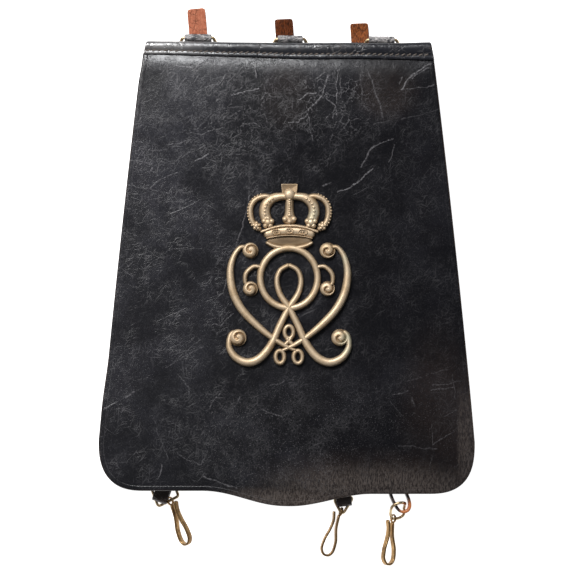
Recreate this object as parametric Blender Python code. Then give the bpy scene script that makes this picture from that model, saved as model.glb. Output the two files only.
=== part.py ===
"""A cavalry sabretache lying on its back: a stiff black leather flap over a shallow pocket, a cast brass
badge, three leather slings behind it, and a brass ring and spring hook at the end of each sling.

Lengths are in millimetres and are made metres when a mesh is stored. X is to the right, Y is towards the
top edge of the bag and Z is up, away from the surface it lies on."""

import math

import bmesh
import bpy
import numpy as np

MM = 0.001
UP = np.array([0.0, 0.0, 1.0])

# Outline of the flap, seen from above
FLAP_TOP_Y = 172.6
SIDE_TOP_Y = 178.4
SIDE_TOP_HALF = 105.2
SIDE_LENGTH = 296.7
SIDE_SPREAD = 36.5
SIDE_BOW = 4.7
CORNER_Y = -113.2
CORNER_ACROSS = 33.7
CORNER_DOWN = 36.7
CORNER_POWER = 2.6
TONGUE_X = 0.8
TONGUE_HALF = 60.0
TONGUE_DROP = 11.3

# Heights of the flap's upper face
FLAP_THICK = 2.6
FLAP_EDGE_Z = 14.35
FLAP_TOP_Z = 20.8
RISE_START_Y = 165.6
RISE_LENGTH = 43.0
LOW_START_Y = -75.0
LOW_DROOP = 2.2
TONGUE_DROOP = 3.6
TONGUE_BEND = 12.0
SIDE_DROOP = 1.7
SIDE_DROOP_POWER = 7
FLAP_COLUMNS = 16
# shares of the way down the flap, closest where it bends
FLAP_ROWS = (0, 0.018, 0.04, 0.06, 0.08, 0.1, 0.12, 0.15, 0.25, 0.4, 0.55, 0.7, 0.8, 0.87, 0.92, 0.96, 1)

# Back panel
PANEL_INSET = 8.0
PANEL_THICK = 1.8
PANEL_TOP_Y = 172.8
PANEL_LOW_Y = -116.0
PANEL_Z = 2.35
PANEL_EDGE_Z = 9.65
PANEL_CORNER = 34.0
PANEL_LIFT_Y = 135.0
PANEL_LIFT = 30.0
PANEL_COLUMNS = 6

# Pocket front
POCKET_INSET = 16.0
POCKET_MOUTH_Y = 128.0
POCKET_LOW_Y = -108.0
POCKET_CORNER = 30.0
POCKET_WALL = 1.6
POCKET_CROWN_Z = 16.6
POCKET_SPINE = 90.0
# distance in from the outline, height of the middle of the wall
POCKET_STEPS = ((0.0, 5.25), (7.0, 5.25), (8.3, 6.2), (11.2, 13.6), (13.4, 15.0), (18.0, 15.7))
POCKET_SHARES = (0.55, 0.0)

# Strip folded over the top edge
BAND_TOP_Y = 179.0
BAND_LOW_Y = 168.4
BAND_TOP_SLOPE = -0.0087
BAND_LOW_SLOPE = -0.0212
BAND_WALL = 1.3
BAND_BACK_Z = 8.0
BAND_FRONT_Z = 15.95
BAND_HALF = 104.6
BAND_FLARE = 0.022
BAND_LEG = 0.62
BAND_INNER_LEG = 0.58
BAND_INNER_TOP = 0.86

# Rings at the top edge and the leather loops folded round them
TOP_WIRE = 1.2
TOP_BAR_Z = 7.9
LOW_BAR_Z = 1.2
RING_LEAN_DROP = 13.6
RING_FLARE = 17.0
RING_CORNER = 2.6
RING_PLAY = 1.2
TAB_WALL = 1.3
TAB_ROUND = 2.8
TAB_TAIL = 19.5
TAB_BORE = 1.58
TAB_NECK = 2.6
TAB_WRAP = 1.12
# side, middle x, height of the upper bar up the page, half width of the tab
TOP_SETS = (("left", -65.0, 182.6, 10.0), ("middle", 2.7, 181.6, 9.2), ("right", 69.9, 181.0, 9.5))

# Slings
STRAP_WIDE = 13.5
STRAP_END_WIDE = 11.0
STRAP_TIP_WIDE = 10.5
STRAP_THICK = 2.0
STRAP_EDGE = 0.35
STRAP_LIE_Z = 1.02
# each row is a station along the strap: x, y, height of the middle of its thickness
LEFT_RUN = (
    (-66.5, 204.1, 4.9), (-66.3, 202.0, 4.8), (-65.6, 194.0, 4.2), (-65.0, 186.5, 3.78),
    (-64.7, 176.0, 3.78), (-64.6, 166.5, 3.74), (-64.9, 158.0, 2.4), (-65.6, 148.0, STRAP_LIE_Z),
    (-69.5, 95.0, STRAP_LIE_Z), (-74.6, 20.0, STRAP_LIE_Z), (-79.2, -55.0, STRAP_LIE_Z),
    (-82.6, -105.0, STRAP_LIE_Z), (-84.0, -124.0, STRAP_LIE_Z),
)
MIDDLE_RUN = (
    (-2.2, 196.5, 4.6), (-2.1, 194.5, 4.5), (-1.5, 186.0, 3.78), (-0.6, 175.0, 3.78),
    (0.0, 165.5, 3.74), (0.9, 157.0, 2.4), (2.1, 147.0, STRAP_LIE_Z), (9.5, 95.0, STRAP_LIE_Z),
    (20.5, 20.0, STRAP_LIE_Z), (31.0, -55.0, STRAP_LIE_Z), (37.4, -105.0, STRAP_LIE_Z),
    (39.6, -126.0, STRAP_LIE_Z),
)
RIGHT_RUN = (
    (53.2, 193.4, 2.6), (53.3, 191.4, 2.4), (53.8, 185.5, 1.25), (54.3, 179.5, 1.1), (56.2, 175.4, 1.1),
    (58.2, 171.8, 3.7), (60.2, 167.4, 3.8), (61.2, 163.0, 3.75), (61.9, 158.0, 2.6), (62.3, 152.5, 1.3),
    (62.7, 146.0, STRAP_LIE_Z), (64.6, 95.0, STRAP_LIE_Z), (68.2, 20.0, STRAP_LIE_Z),
    (72.0, -55.0, STRAP_LIE_Z), (74.4, -98.0, STRAP_LIE_Z), (76.0, -117.0, STRAP_LIE_Z),
)
# the end folded back over its ring: distance ahead of the bend's middle, height over the lower layer's middle
FOLD = (
    (-17.0, 0.0), (-9.0, 0.0), (-3.5, 0.0), (0.0, 0.0), (1.25, 0.35), (2.15, 1.3), (2.4, 2.4), (2.15, 3.5),
    (1.25, 4.45), (0.0, 4.8), (-4.0, 4.8), (-7.6, 4.7), (-10.6, 3.4), (-13.0, 2.36), (-16.5, 2.34),
)
LEFT_FOOT = (-90.2, -149.8)
LEFT_HEADING = (-0.342, -0.940)
LEFT_ROLL = math.radians(8.0)
MIDDLE_FOOT = (41.9, -155.2)
MIDDLE_HEADING = (0.12, -0.993)
# the right end stands on edge and turns back as an open eye: x, y, middle height, turn of the width
EYE_Z = 8.05
RIGHT_EYE = (
    (76.6, -121.5, 2.25, 11), (77.2, -127.5, 3.9, 34), (77.5, -133.0, 5.8, 58), (77.2, -139.0, 7.4, 80),
    (76.2, -145.0, EYE_Z, 86), (75.9, -150.6, EYE_Z, 86), (77.3, -155.4, EYE_Z, 86), (79.4, -159.8, EYE_Z, 86),
    (81.0, -162.6, EYE_Z, 86), (83.2, -164.8, EYE_Z, 86), (86.2, -165.4, EYE_Z, 86), (88.9, -164.2, EYE_Z, 86),
    (90.2, -161.4, EYE_Z, 86), (89.9, -157.6, EYE_Z, 86), (88.3, -153.0, EYE_Z, 86), (85.2, -147.8, EYE_Z, 86),
    (81.6, -143.6, EYE_Z, 86), (79.6, -139.4, EYE_Z, 84), (79.7, -135.4, 7.9, 78),
)
EYE_STANDS_FROM = 4

# Rings at the lower ends
HOOK_WIRE = 1.05
HOOK_RING_CORNER = 1.7
LEFT_CORNERS = ((-94.3, -161.7), (-79.4, -153.9), (-81.6, -147.6), (-101.4, -142.6))
LEFT_RING_Z = 3.41
LEFT_RING_SLOPES = (0.14, -0.17)
MIDDLE_CORNERS = ((40.4, -167.2), (53.0, -153.9), (32.6, -156.3))
MIDDLE_RING_Z = 3.42
# stations of the bent right ring: x, y, z
RIGHT_RING = (
    (86.3, -162.6, 1.2), (86.0, -167.4, 1.2), (82.6, -169.9, 1.7), (78.3, -170.4, 3.4), (76.3, -167.8, 7.0),
    (77.0, -162.4, 12.9), (79.4, -159.9, 15.0), (83.6, -158.6, 15.0), (86.6, -158.9, 10.5), (86.8, -160.2, 4.6),
)
RIGHT_RING_STATIONS = 22

# Spring hooks, a strip in its own plane: distance from the eye, distance sideways
STRIP_WIDE = 4.2
STRIP_THICK = 1.6
STRIP_EDGE = 0.3
HOOK_SHANK = ((0.0, 0.0), (5.0, -0.6), (13.0, 0.0), (21.0, 2.2), (25.0, 2.6), (27.8, 2.6))
HOOK_TIP = ((27.8, -6.6), (22.0, -6.1), (14.6, -4.3), (7.7, -3.6), (1.1, -5.0))
BOW_CENTRE = (27.8, -2.0)
BOW_LONG = 6.1
BOW_WIDE = 4.6
BOW_TURNS = (25, 50, 75, 105, 130, 155)
EYE_RADIUS = 3.3
EYE_BORE = 2.2
# name, middle of the eye, heading, pitch and tilt in degrees, side of the free tip (-1 is left of the heading)
HOOKS = (
    ("hook_left", (-83.2, -156.2, 3.7), (0.27, -0.963), 1.2, 37.0, -1),
    ("hook_middle", (39.9, -165.3, 3.42), (-0.278, -0.96), 0.0, 0.0, 1),
    ("hook_right", (78.3, -170.4, 3.4), (-0.0715, -0.9974), 1.0, -35.0, 1),
)

# Badge: each stroke is a table of x from the badge's middle, y, width and height above its back
BADGE_X = 1.7
BADGE_Z = 21.1
SUNK = 0.6
SUNK_STEP = 0.02
HALF_ROUND = np.array([(0.5, 0.0), (0.5, 0.36), (0.27, 0.92), (-0.27, 0.92), (-0.5, 0.36), (-0.5, 0.0)])
OVAL_Y = 6.2
OVAL_ACROSS = 21.0
OVAL_DOWN = 22.0
OVAL_WIDTH = 5.0
OVAL_RISE = 3.4
OUTER_STROKE = (
    (31.0, 29.2, 3.0, 2.6), (36.2, 28.2, 3.6, 3.2), (41.0, 20.6, 4.6, 3.8), (43.0, 9.8, 5.6, 4.2),
    (41.0, -4.0, 6.2, 4.6), (34.6, -16.6, 6.2, 4.6), (24.4, -27.6, 5.6, 4.4), (13.6, -36.6, 4.6, 4.0),
    (4.6, -42.4, 3.8, 3.6), (-2.4, -45.8, 3.0, 3.2), (-6.4, -47.6, 2.8, 3.0),
)
LOWER_STROKE = (
    (39.6, -32.2, 3.0, 2.6), (43.2, -36.4, 3.8, 3.2), (43.6, -45.0, 4.8, 3.8), (38.4, -52.4, 5.8, 4.2),
    (29.6, -55.6, 6.4, 4.4), (20.6, -51.8, 6.4, 4.4), (12.6, -41.6, 5.8, 4.2), (6.6, -28.4, 5.2, 4.0),
    (0.0, -15.6, 5.0, 3.8), (-6.6, -5.4, 4.6, 3.6), (-8.8, 4.0, 4.2, 3.4), (-6.4, 11.8, 3.8, 3.2),
    (0.8, 16.2, 3.4, 3.0),
)
TENDRIL = (
    (19.5, 14.0, 3.0, 3.0), (26.0, 14.6, 3.4, 3.2), (31.4, 9.6, 3.6, 3.2), (32.0, 3.4, 3.2, 2.8),
    (30.0, 0.4, 2.8, 2.8),
)
# small loops: x, y, half width, half height
KNOT_LOOPS = ((0.0, -33.4, 3.3, 4.6), (-6.6, -51.6, 3.3, 4.7), (6.6, -51.6, 3.3, 4.7))
KNOT_WIDTH = 2.6
KNOT_RISE = 2.8
KNOT_CROSS = ((-2.2, -36.9, 2.6, 2.8), (0.4, -40.2, 2.6, 3.0), (4.4, -44.0, 2.6, 2.8))
# domed ends: x, y, radius, height
SCROLL_ENDS = ((28.2, 26.4, 5.6, 5.0), (37.2, -37.4, 6.0, 5.2), (28.2, -1.6, 5.4, 4.8))
# profile of a dome: share of its radius, share of its height
DOME_STEPS = ((1.0, 0.42), (0.74, 0.84), (0.3, 1.0))

# Crown, the same columns
CROWN_X = 0.4
CROWN_RIM = ((-22.4, 39.4, 2.8, 3.6), (-11.0, 43.3, 2.8, 3.9), (0.0, 44.6, 2.8, 4.0))
CROWN_BAND = ((-20.4, 37.2, 5.8, 3.0), (-10.0, 39.9, 6.2, 3.3), (0.0, 40.8, 6.2, 3.4))
CROWN_FOOT = ((-16.2, 31.9, 3.0, 3.4), (-8.0, 28.9, 3.4, 3.6), (0.0, 28.0, 3.6, 3.7))
CROWN_HOLLOW = ((-17.8, 34.2, 4.6, 1.8), (-9.0, 33.9, 7.6, 1.9), (0.0, 33.8, 9.2, 2.0))
CENTRE_ARCH = ((0.0, 45.2, 8.6, 3.6), (0.0, 50.0, 8.2, 4.0), (0.0, 55.0, 6.2, 4.2), (0.0, 65.5, 5.4, 4.6))
INNER_ARCH = (
    (2.0, 65.8, 5.0, 4.4), (-6.0, 66.0, 5.4, 4.4), (-12.8, 64.6, 5.8, 4.4), (-17.8, 59.8, 6.2, 4.2),
    (-18.6, 53.4, 6.4, 4.0), (-16.2, 47.4, 6.4, 3.8), (-13.6, 43.4, 5.2, 3.4),
)
OUTER_ARCH = (
    (-13.0, 65.4, 3.6, 3.0), (-18.6, 66.2, 4.2, 3.2), (-24.8, 63.8, 4.6, 3.2), (-28.2, 58.8, 4.8, 3.2),
    (-28.6, 52.6, 4.8, 3.2), (-26.6, 46.6, 4.6, 3.2), (-20.8, 41.0, 4.4, 3.2),
)
# x, y, radius, height
CENTRE_BUD = (0.0, 48.4, 4.4, 4.6)
SIDE_BUDS = ((16.4, 46.6, 4.0, 4.4), (24.6, 44.2, 3.4, 3.8))
CROWN_BALL = (0.0, 67.4, 4.4, 6.2)
PLATE = ((0.0, 68.6, 10.8, 2.6), (0.0, 75.2, 12.4, 2.6))


def smooth(t):
    """0 to 1 with level ends."""
    t = np.clip(t, 0.0, 1.0)
    return t * t * (3.0 - 2.0 * t)


def spline(rows, count, measured):
    """A Catmull-Rom curve through the rows, evenly spaced by the length that its first few columns measure."""
    rows = np.asarray(rows, float)
    ends = np.vstack([2 * rows[0] - rows[1], rows, 2 * rows[-1] - rows[-2]])
    t = np.linspace(0.0, 1.0, 24, endpoint=False)[:, None]
    fine = []
    for a, b, c, d in zip(ends, ends[1:], ends[2:], ends[3:]):
        bend = (2 * a - 5 * b + 4 * c - d) * t**2 + (3 * b - a - 3 * c + d) * t**3
        fine.append(0.5 * (2 * b + (c - a) * t + bend))
    fine = np.vstack(fine + [rows[-1:]])
    steps = np.linalg.norm(np.diff(fine[:, :measured], axis=0), axis=1)
    run = np.concatenate([[0.0], np.cumsum(steps)])
    even = np.linspace(0.0, run[-1], count)
    return np.stack([np.interp(even, run, column) for column in fine.T], axis=1)


def unit(vectors):
    return vectors / np.linalg.norm(vectors, axis=-1, keepdims=True)


def rounded_loop(corners, radius, per_corner):
    """A closed polygon in the plane with each corner turned on an arc."""
    corners = np.asarray(corners, float)
    out = []
    for i, corner in enumerate(corners):
        before = unit(corners[i - 1] - corner)
        after = unit(corners[(i + 1) % len(corners)] - corner)
        half = 0.5 * math.acos(float(np.clip(before @ after, -1.0, 1.0)))
        reach = radius / math.tan(half)
        middle = corner + unit(before + after) * radius / math.sin(half)
        first = corner + before * reach - middle
        last = corner + after * reach - middle
        turn = math.pi - 2 * half
        for t in np.linspace(0.0, 1.0, per_corner):
            mixed = math.sin((1 - t) * turn) * first + math.sin(t * turn) * last
            out.append(middle + mixed / math.sin(turn))
    return np.array(out)


def material(name, colour, metallic, roughness):
    made = bpy.data.materials.new(name)
    made.use_nodes = True
    shader = made.node_tree.nodes["Principled BSDF"]
    shader.inputs["Base Color"].default_value = (*colour, 1.0)
    shader.inputs["Metallic"].default_value = metallic
    shader.inputs["Roughness"].default_value = roughness
    return made


def store(name, verts, faces, look):
    """A mesh object of these points and faces, with doubled points merged and its faces turned outward."""
    mesh = bpy.data.meshes.new(name)
    mesh.from_pydata((np.asarray(verts, float) * MM).tolist(), [], faces)
    shape = bmesh.new()
    shape.from_mesh(mesh)
    bmesh.ops.remove_doubles(shape, verts=shape.verts, dist=2e-6)
    bmesh.ops.recalc_face_normals(shape, faces=shape.faces)
    shape.to_mesh(mesh)
    shape.free()
    mesh.materials.append(look)
    made = bpy.data.objects.new(name, mesh)
    bpy.context.scene.collection.objects.link(made)
    return made


def cut(made, other, how):
    """Joins the other piece to this one, or takes it away, and hides it."""
    other.hide_render = True
    other.display_type = "WIRE"
    step = made.modifiers.new(how.lower(), "BOOLEAN")
    step.operation = how
    step.solver = "EXACT"
    step.object = other


def tube_faces(count, sides, closed):
    """Quads round a run of equal sections, with an n-sided cap at each open end."""
    faces = []
    for i in range(count if closed else count - 1):
        j = (i + 1) % count
        for k in range(sides):
            m = (k + 1) % sides
            faces.append((i * sides + k, i * sides + m, j * sides + m, j * sides + k))
    if not closed:
        faces.append(tuple(range(sides)))
        faces.append(tuple(range((count - 1) * sides, count * sides)))
    return faces


def tangents(path, closed):
    if closed:
        return unit(np.roll(path, -1, axis=0) - np.roll(path, 1, axis=0))
    return unit(np.gradient(path, axis=0))


def sweep(path, wide, sections, closed=False):
    """Points of a section carried along the path: its first column goes along wide, its second square to both."""
    along = tangents(path, closed)
    wide = unit(wide - (wide * along).sum(axis=1, keepdims=True) * along)
    rise = np.cross(along, wide)
    points = path[:, None] + sections[..., :1] * wide[:, None] + sections[..., 1:] * rise[:, None]
    return points.reshape(-1, 3)


def circle(radius, sides):
    turn = (np.arange(sides) + 0.5) * 2 * math.pi / sides
    return np.stack([radius * np.cos(turn), radius * np.sin(turn)], axis=1)


def broken_edge(wide, thick, edge):
    """A flat rectangular section whose four corners are cut off."""
    x, z = 0.5 * wide, 0.5 * thick
    return np.array([
        (x, z - edge), (x - edge, z), (edge - x, z), (-x, z - edge),
        (-x, edge - z), (edge - x, -z), (x - edge, -z), (x, edge - z),
    ])


def side_half(y):
    """Half the width of the flap at height y: a gently bowed flare."""
    t = (SIDE_TOP_Y - y) / SIDE_LENGTH
    return SIDE_TOP_HALF + SIDE_SPREAD * t - SIDE_BOW * t * t


def corner_arc(angle):
    """A point of the lower right corner, a superellipse quarter from the side (0) to below (a right angle)."""
    x = side_half(CORNER_Y) - CORNER_ACROSS * (1.0 - np.cos(angle) ** (2.0 / CORNER_POWER))
    y = CORNER_Y - CORNER_DOWN * np.sin(angle) ** (2.0 / CORNER_POWER)
    return np.stack([x, y], axis=-1)


def lower_edge(x):
    """The bottom edge between the corners: straight, with a shallow cosine tongue in the middle."""
    wave = 0.5 + 0.5 * np.cos(np.pi * np.clip(np.abs(x - TONGUE_X) / TONGUE_HALF, 0.0, 1.0))
    return CORNER_Y - CORNER_DOWN - TONGUE_DROP * wave


def along_run(points, shares):
    """The points at these shares of a polyline's length."""
    steps = np.linalg.norm(np.diff(points, axis=0), axis=1)
    run = np.concatenate([[0.0], np.cumsum(steps)]) / steps.sum()
    return np.stack([np.interp(shares, run, points[:, 0]), np.interp(shares, run, points[:, 1])], axis=1)


def flap_plan(columns):
    """The flap's plan, a Coons patch: straight top, bowed sides to the middle of each corner, tongued bottom."""
    quarter = 0.25 * math.pi
    side_y = np.linspace(FLAP_TOP_Y, CORNER_Y, 60)
    side = np.stack([side_half(side_y), side_y], axis=1)
    shares = np.array(FLAP_ROWS)
    right = along_run(np.vstack([side, corner_arc(np.linspace(0.0, quarter, 30)[1:])]), shares)
    arc = corner_arc(np.linspace(quarter, 2 * quarter, 30))
    flat_x = np.linspace(arc[-1, 0], -arc[-1, 0], 160)[1:-1]
    flat = np.stack([flat_x, lower_edge(flat_x)], axis=1)
    edge = np.vstack([arc, flat, (arc * [-1, 1])[::-1]])[::-1]
    low = along_run(edge, np.linspace(0.0, 1.0, columns + 1))
    left = right * [-1, 1]
    u = np.linspace(0.0, 1.0, columns + 1)[None, :, None]
    v = shares[:, None, None]
    top = left[0] * (1 - u[0]) + right[0] * u[0]
    ruled = left[:, None] * (1 - u) + right[:, None] * u + top[None] * (1 - v) + low[None] * v
    upper = left[0] * (1 - u) + right[0] * u
    lower = left[-1] * (1 - u) + right[-1] * u
    return ruled - upper * (1 - v) - lower * v


def flap_height(plan):
    """Height of the flap's upper face: it leaves the top strip, climbs over the pocket, droops at its edges."""
    x, y = plan[..., 0], plan[..., 1]
    foot = CORNER_Y - CORNER_DOWN
    climb = smooth((RISE_START_Y - y) / RISE_LENGTH)
    low = np.clip((LOW_START_Y - y) / (LOW_START_Y - foot), 0.0, 1.4)
    tongue = np.clip((foot + TONGUE_BEND - y) / (TONGUE_DROP + TONGUE_BEND), 0.0, 1.0)
    side = np.clip(np.abs(x) / side_half(y), 0.0, 1.0) ** SIDE_DROOP_POWER
    drop = LOW_DROOP * low**2 + TONGUE_DROOP * tongue**2 + SIDE_DROOP * side * climb
    return FLAP_EDGE_Z + (FLAP_TOP_Z - FLAP_EDGE_Z) * climb - drop


def sheet(name, plan, top, thick, look):
    """A sheet over a grid of plan points, its upper face at top and its lower face the thickness below."""
    rows, columns = plan.shape[:2]
    upper = np.concatenate([plan, top[..., None]], axis=2).reshape(-1, 3)
    verts = np.vstack([upper, upper - thick * UP])
    under = rows * columns
    faces = []
    for i in range(rows - 1):
        for j in range(columns - 1):
            a = i * columns + j
            quad = (a, a + 1, a + columns + 1, a + columns)
            faces.append(quad)
            faces.append(tuple(under + k for k in reversed(quad)))
    border = list(range(columns))
    border += [i * columns + columns - 1 for i in range(1, rows)]
    border += [(rows - 1) * columns + j for j in range(columns - 2, -1, -1)]
    border += [i * columns for i in range(rows - 2, 0, -1)]
    for a, b in zip(border, border[1:] + border[:1]):
        faces.append((a, b, under + b, under + a))
    return store(name, verts, faces, look)


def panel_plan(columns):
    """The back panel: the flap's flare inset, round lower corners, its rows closest where it bends."""
    arc = np.linspace(0.0, 0.5 * math.pi, 7)[1:]
    bend = np.linspace(PANEL_TOP_Y, PANEL_LIFT_Y, 9)
    straight = np.linspace(PANEL_LIFT_Y, PANEL_LOW_Y + PANEL_CORNER, 4)[1:]
    y = np.concatenate([bend, straight, PANEL_LOW_Y + PANEL_CORNER * (1 - np.sin(arc))])
    over = np.clip((PANEL_CORNER - (y - PANEL_LOW_Y)) / PANEL_CORNER, 0.0, 1.0)
    half = side_half(y) - PANEL_INSET - PANEL_CORNER * (1.0 - np.sqrt(1.0 - over**2))
    across = np.linspace(-1.0, 1.0, columns + 1)
    return np.stack([half[:, None] * across, np.repeat(y[:, None], columns + 1, axis=1)], axis=2)


def panel_height(plan):
    """Height of the back panel's upper face: lifted over the tabs at the top, down on the slings below."""
    lift = smooth((plan[..., 1] - PANEL_LIFT_Y) / PANEL_LIFT)
    return PANEL_THICK + PANEL_Z + (PANEL_EDGE_Z - PANEL_Z) * lift


def make_pocket(look):
    """The pocket front: a flange stitched to the back, a short gusset and a gently domed face, open above."""
    side_y = np.linspace(POCKET_MOUTH_Y, POCKET_LOW_Y + POCKET_CORNER, 9)
    side = np.stack([side_half(side_y) - POCKET_INSET, side_y], axis=1)
    turn = np.linspace(0.0, 0.5 * math.pi, 6)[1:]
    arc_x = side[-1, 0] - POCKET_CORNER * (1.0 - np.cos(turn))
    arc_y = POCKET_LOW_Y + POCKET_CORNER * (1.0 - np.sin(turn))
    base_x = np.linspace(arc_x[-1], 0.0, 6)[1:]
    arc = np.stack([arc_x, arc_y], axis=1)
    base = np.stack([base_x, np.full(len(base_x), POCKET_LOW_Y)], axis=1)
    right = np.vstack([side, arc, base])
    outline = np.vstack([right, (right * [-1, 1])[::-1][1:]])
    along = tangents(outline, False)
    inward = np.stack([along[:, 1], -along[:, 0]], axis=1)
    inward[[0, -1]] = [[-1.0, 0.0], [1.0, 0.0]]
    rings = []
    for inset, height in POCKET_STEPS:
        ring = outline + inward * inset
        rings.append(np.concatenate([ring, np.full((len(ring), 1), height)], axis=1))
    inner = rings[-1]
    spine_y = np.clip(inner[:, 1], POCKET_LOW_Y + POCKET_SPINE, None)
    spine = np.stack([np.zeros(len(inner)), spine_y], axis=1)
    for t in POCKET_SHARES:
        ring = spine + (inner[:, :2] - spine) * t
        height = POCKET_CROWN_Z - (POCKET_CROWN_Z - inner[:, 2:]) * t**2
        rings.append(np.concatenate([ring, height], axis=1))
    rings = np.array(rings)
    rings[:, [0, -1], 1] = POCKET_MOUTH_Y
    count = len(outline)
    faces = []
    for i in range(len(rings) - 1):
        for j in range(count - 1):
            a = i * count + j
            faces.append((a, a + 1, a + count + 1, a + count))
    made = store("pocket", rings.reshape(-1, 3), faces, look)
    thick = made.modifiers.new("wall", "SOLIDIFY")
    thick.thickness = POCKET_WALL * MM
    thick.offset = 0.0
    thick.use_even_offset = True
    return made


def make_band(look):
    """The strip folded over the top edge: a flat back leg, a round fold and a slightly full front leg."""
    middle = 0.5 * (BAND_BACK_Z + BAND_FRONT_Z)
    reach = 0.5 * (BAND_FRONT_Z - BAND_BACK_Z)
    wall = BAND_WALL
    turns = np.linspace(-0.5 * math.pi, 0.5 * math.pi, 7)[1:-1]
    round_out = 0.9 * (1.0 - BAND_LEG)
    round_in = BAND_INNER_TOP - BAND_INNER_LEG
    # share of the way from the lower edge (0) to the top edge (1), and height
    outer = [(0.0, BAND_BACK_Z), (BAND_LEG, BAND_BACK_Z)]
    outer += [(1.0 - round_out * (1 - math.cos(a)), middle + reach * math.sin(a)) for a in turns]
    outer += [(BAND_LEG, BAND_FRONT_Z), (0.3, BAND_FRONT_Z - 0.1), (0.0, BAND_FRONT_Z - 0.35)]
    inner = [(0.0, BAND_FRONT_Z - wall), (BAND_INNER_LEG, BAND_FRONT_Z - wall)]
    inner += [
        (BAND_INNER_TOP - round_in * (1 - math.cos(a)), middle + (reach - wall) * math.sin(a))
        for a in turns[::-1]
    ]
    inner += [(BAND_INNER_LEG, BAND_BACK_Z + wall), (0.0, BAND_BACK_Z + wall)]
    share, height = np.array(outer + inner).T
    stations = np.linspace(-BAND_HALF, BAND_HALF, 11)
    verts = []
    for x in stations:
        top = BAND_TOP_Y + BAND_TOP_SLOPE * x
        low = BAND_LOW_Y + BAND_LOW_SLOPE * x
        spread = 1.0 + BAND_FLARE * (1.0 - share) * abs(x) / BAND_HALF
        verts.append(np.stack([x * spread, low + (top - low) * share, height], axis=1))
    return store("top_band", np.vstack(verts), tube_faces(len(stations), len(share), False), look)


def make_top_ring(name, centre_x, bar_y, half, look):
    """A wire ring in the shape of a low trapezium, leaning from the tab down behind the bag to the floor."""
    corners = [(half, 0.0), (half + RING_FLARE, 1.0), (-half - RING_FLARE, 1.0), (-half, 0.0)]
    lean = math.hypot(RING_LEAN_DROP, TOP_BAR_Z - LOW_BAR_Z)
    flat = rounded_loop([(x, -down * lean) for x, down in corners], RING_CORNER, 4)
    share = -flat[:, 1] / lean
    y = bar_y - RING_LEAN_DROP * share
    z = TOP_BAR_Z + (LOW_BAR_Z - TOP_BAR_Z) * share
    path = np.stack([centre_x + flat[:, 0], y, z], axis=1)
    normal = unit(np.array([0.0, TOP_BAR_Z - LOW_BAR_Z, -RING_LEAN_DROP]))
    section = np.repeat(circle(TOP_WIRE, 8)[None], len(path), axis=0)
    verts = sweep(path, np.repeat(normal[None], len(path), axis=0), section, True)
    return store(name, verts, tube_faces(len(path), 8, True), look)


def make_tab(name, centre_x, bar_y, half, look):
    """A leather tab folded round the ring's upper bar, both tails stitched flat together below it."""
    turn = np.linspace(-0.5 * math.pi, TAB_WRAP * math.pi, 11)[1:]
    outer = np.stack([TAB_ROUND * np.cos(turn), TAB_ROUND * np.sin(turn)], axis=1)
    low, high = -TAB_ROUND, 2 * TAB_WALL - TAB_ROUND
    start = [(-TAB_TAIL, low), (-0.5, low)]
    end = [(-TAB_ROUND - TAB_NECK, high), (-TAB_TAIL, high)]
    section = np.vstack([start, outer, end])
    sides = []
    for x in (centre_x - half, centre_x + half):
        sides.append(np.column_stack([np.full(len(section), x), section + [bar_y, TOP_BAR_Z]]))
    made = store(name, np.vstack(sides), tube_faces(2, len(section), False), look)
    axis = np.array([[centre_x - half - 1, bar_y, TOP_BAR_Z], [centre_x + half + 1, bar_y, TOP_BAR_Z]])
    section = np.repeat(circle(TAB_BORE, 12)[None], 2, axis=0)
    bore = store(name + "_bore", sweep(axis, np.array([UP, UP]), section), tube_faces(2, 12, False), look)
    cut(made, bore, "DIFFERENCE")
    return made


def flat_width(run):
    """The direction of a flat strap's width along its run: level and square to the run."""
    along = tangents(run, False)
    return unit(np.column_stack([-along[:, 1], along[:, 0], np.zeros(len(run))]))


def make_sling(name, path, wide, run_count, look):
    """A leather strap swept along its path: narrow at the tip, full along its run, narrower past it."""
    widths = np.full(len(path), STRAP_WIDE)
    widths[0] = STRAP_TIP_WIDE
    widths[run_count] = 0.5 * (STRAP_WIDE + STRAP_END_WIDE)
    widths[run_count + 1:] = STRAP_END_WIDE
    sections = np.array([broken_edge(width, STRAP_THICK, STRAP_EDGE) for width in widths])
    return store(name, sweep(path, wide, sections), tube_faces(len(path), 8, False), look)


def make_folded_sling(name, rows, foot, heading, roll, look):
    """A sling whose end folds back over its ring, the folded part rolled a little about its heading."""
    run = np.array(rows, float)
    heading = unit(np.array(heading, float))
    ahead = np.array([heading[0], heading[1], 0.0])
    lateral = np.array([-heading[1], heading[0], 0.0])
    wide = math.cos(roll) * lateral + math.sin(roll) * UP
    normal = math.cos(roll) * UP - math.sin(roll) * lateral
    base = np.array([foot[0], foot[1], STRAP_LIE_Z + 0.5 * STRAP_END_WIDE * math.sin(roll)])
    fold = np.array(FOLD)
    bend = base + fold[:, :1] * ahead + fold[:, 1:] * normal
    path = np.vstack([run, bend])
    directions = np.vstack([flat_width(run), np.repeat(wide[None], len(fold), axis=0)])
    return make_sling(name, path, directions, len(run), look)


def make_eyed_sling(name, rows, eye, look):
    """A sling whose end twists on edge and turns back on itself, leaving an open eye for its ring."""
    run = np.array(rows, float)
    eye = np.array(eye, float)
    path = np.vstack([run, eye[:, :3]])
    level = flat_width(path)
    turn = np.radians(np.concatenate([np.zeros(len(run)), eye[:, 3]]))[:, None]
    # beyond the bend the strap runs back, so its level width there would point the other way
    first = len(run) + EYE_STANDS_FROM
    level[first:] = level[first - 1]
    return make_sling(name, path, level * np.cos(turn) + UP * np.sin(turn), len(run), look)


def make_wire(name, path, look):
    outward = path - path.mean(axis=0)
    section = np.repeat(circle(HOOK_WIRE, 8)[None], len(path), axis=0)
    return store(name, sweep(path, outward, section, True), tube_faces(len(path), 8, True), look)


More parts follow.
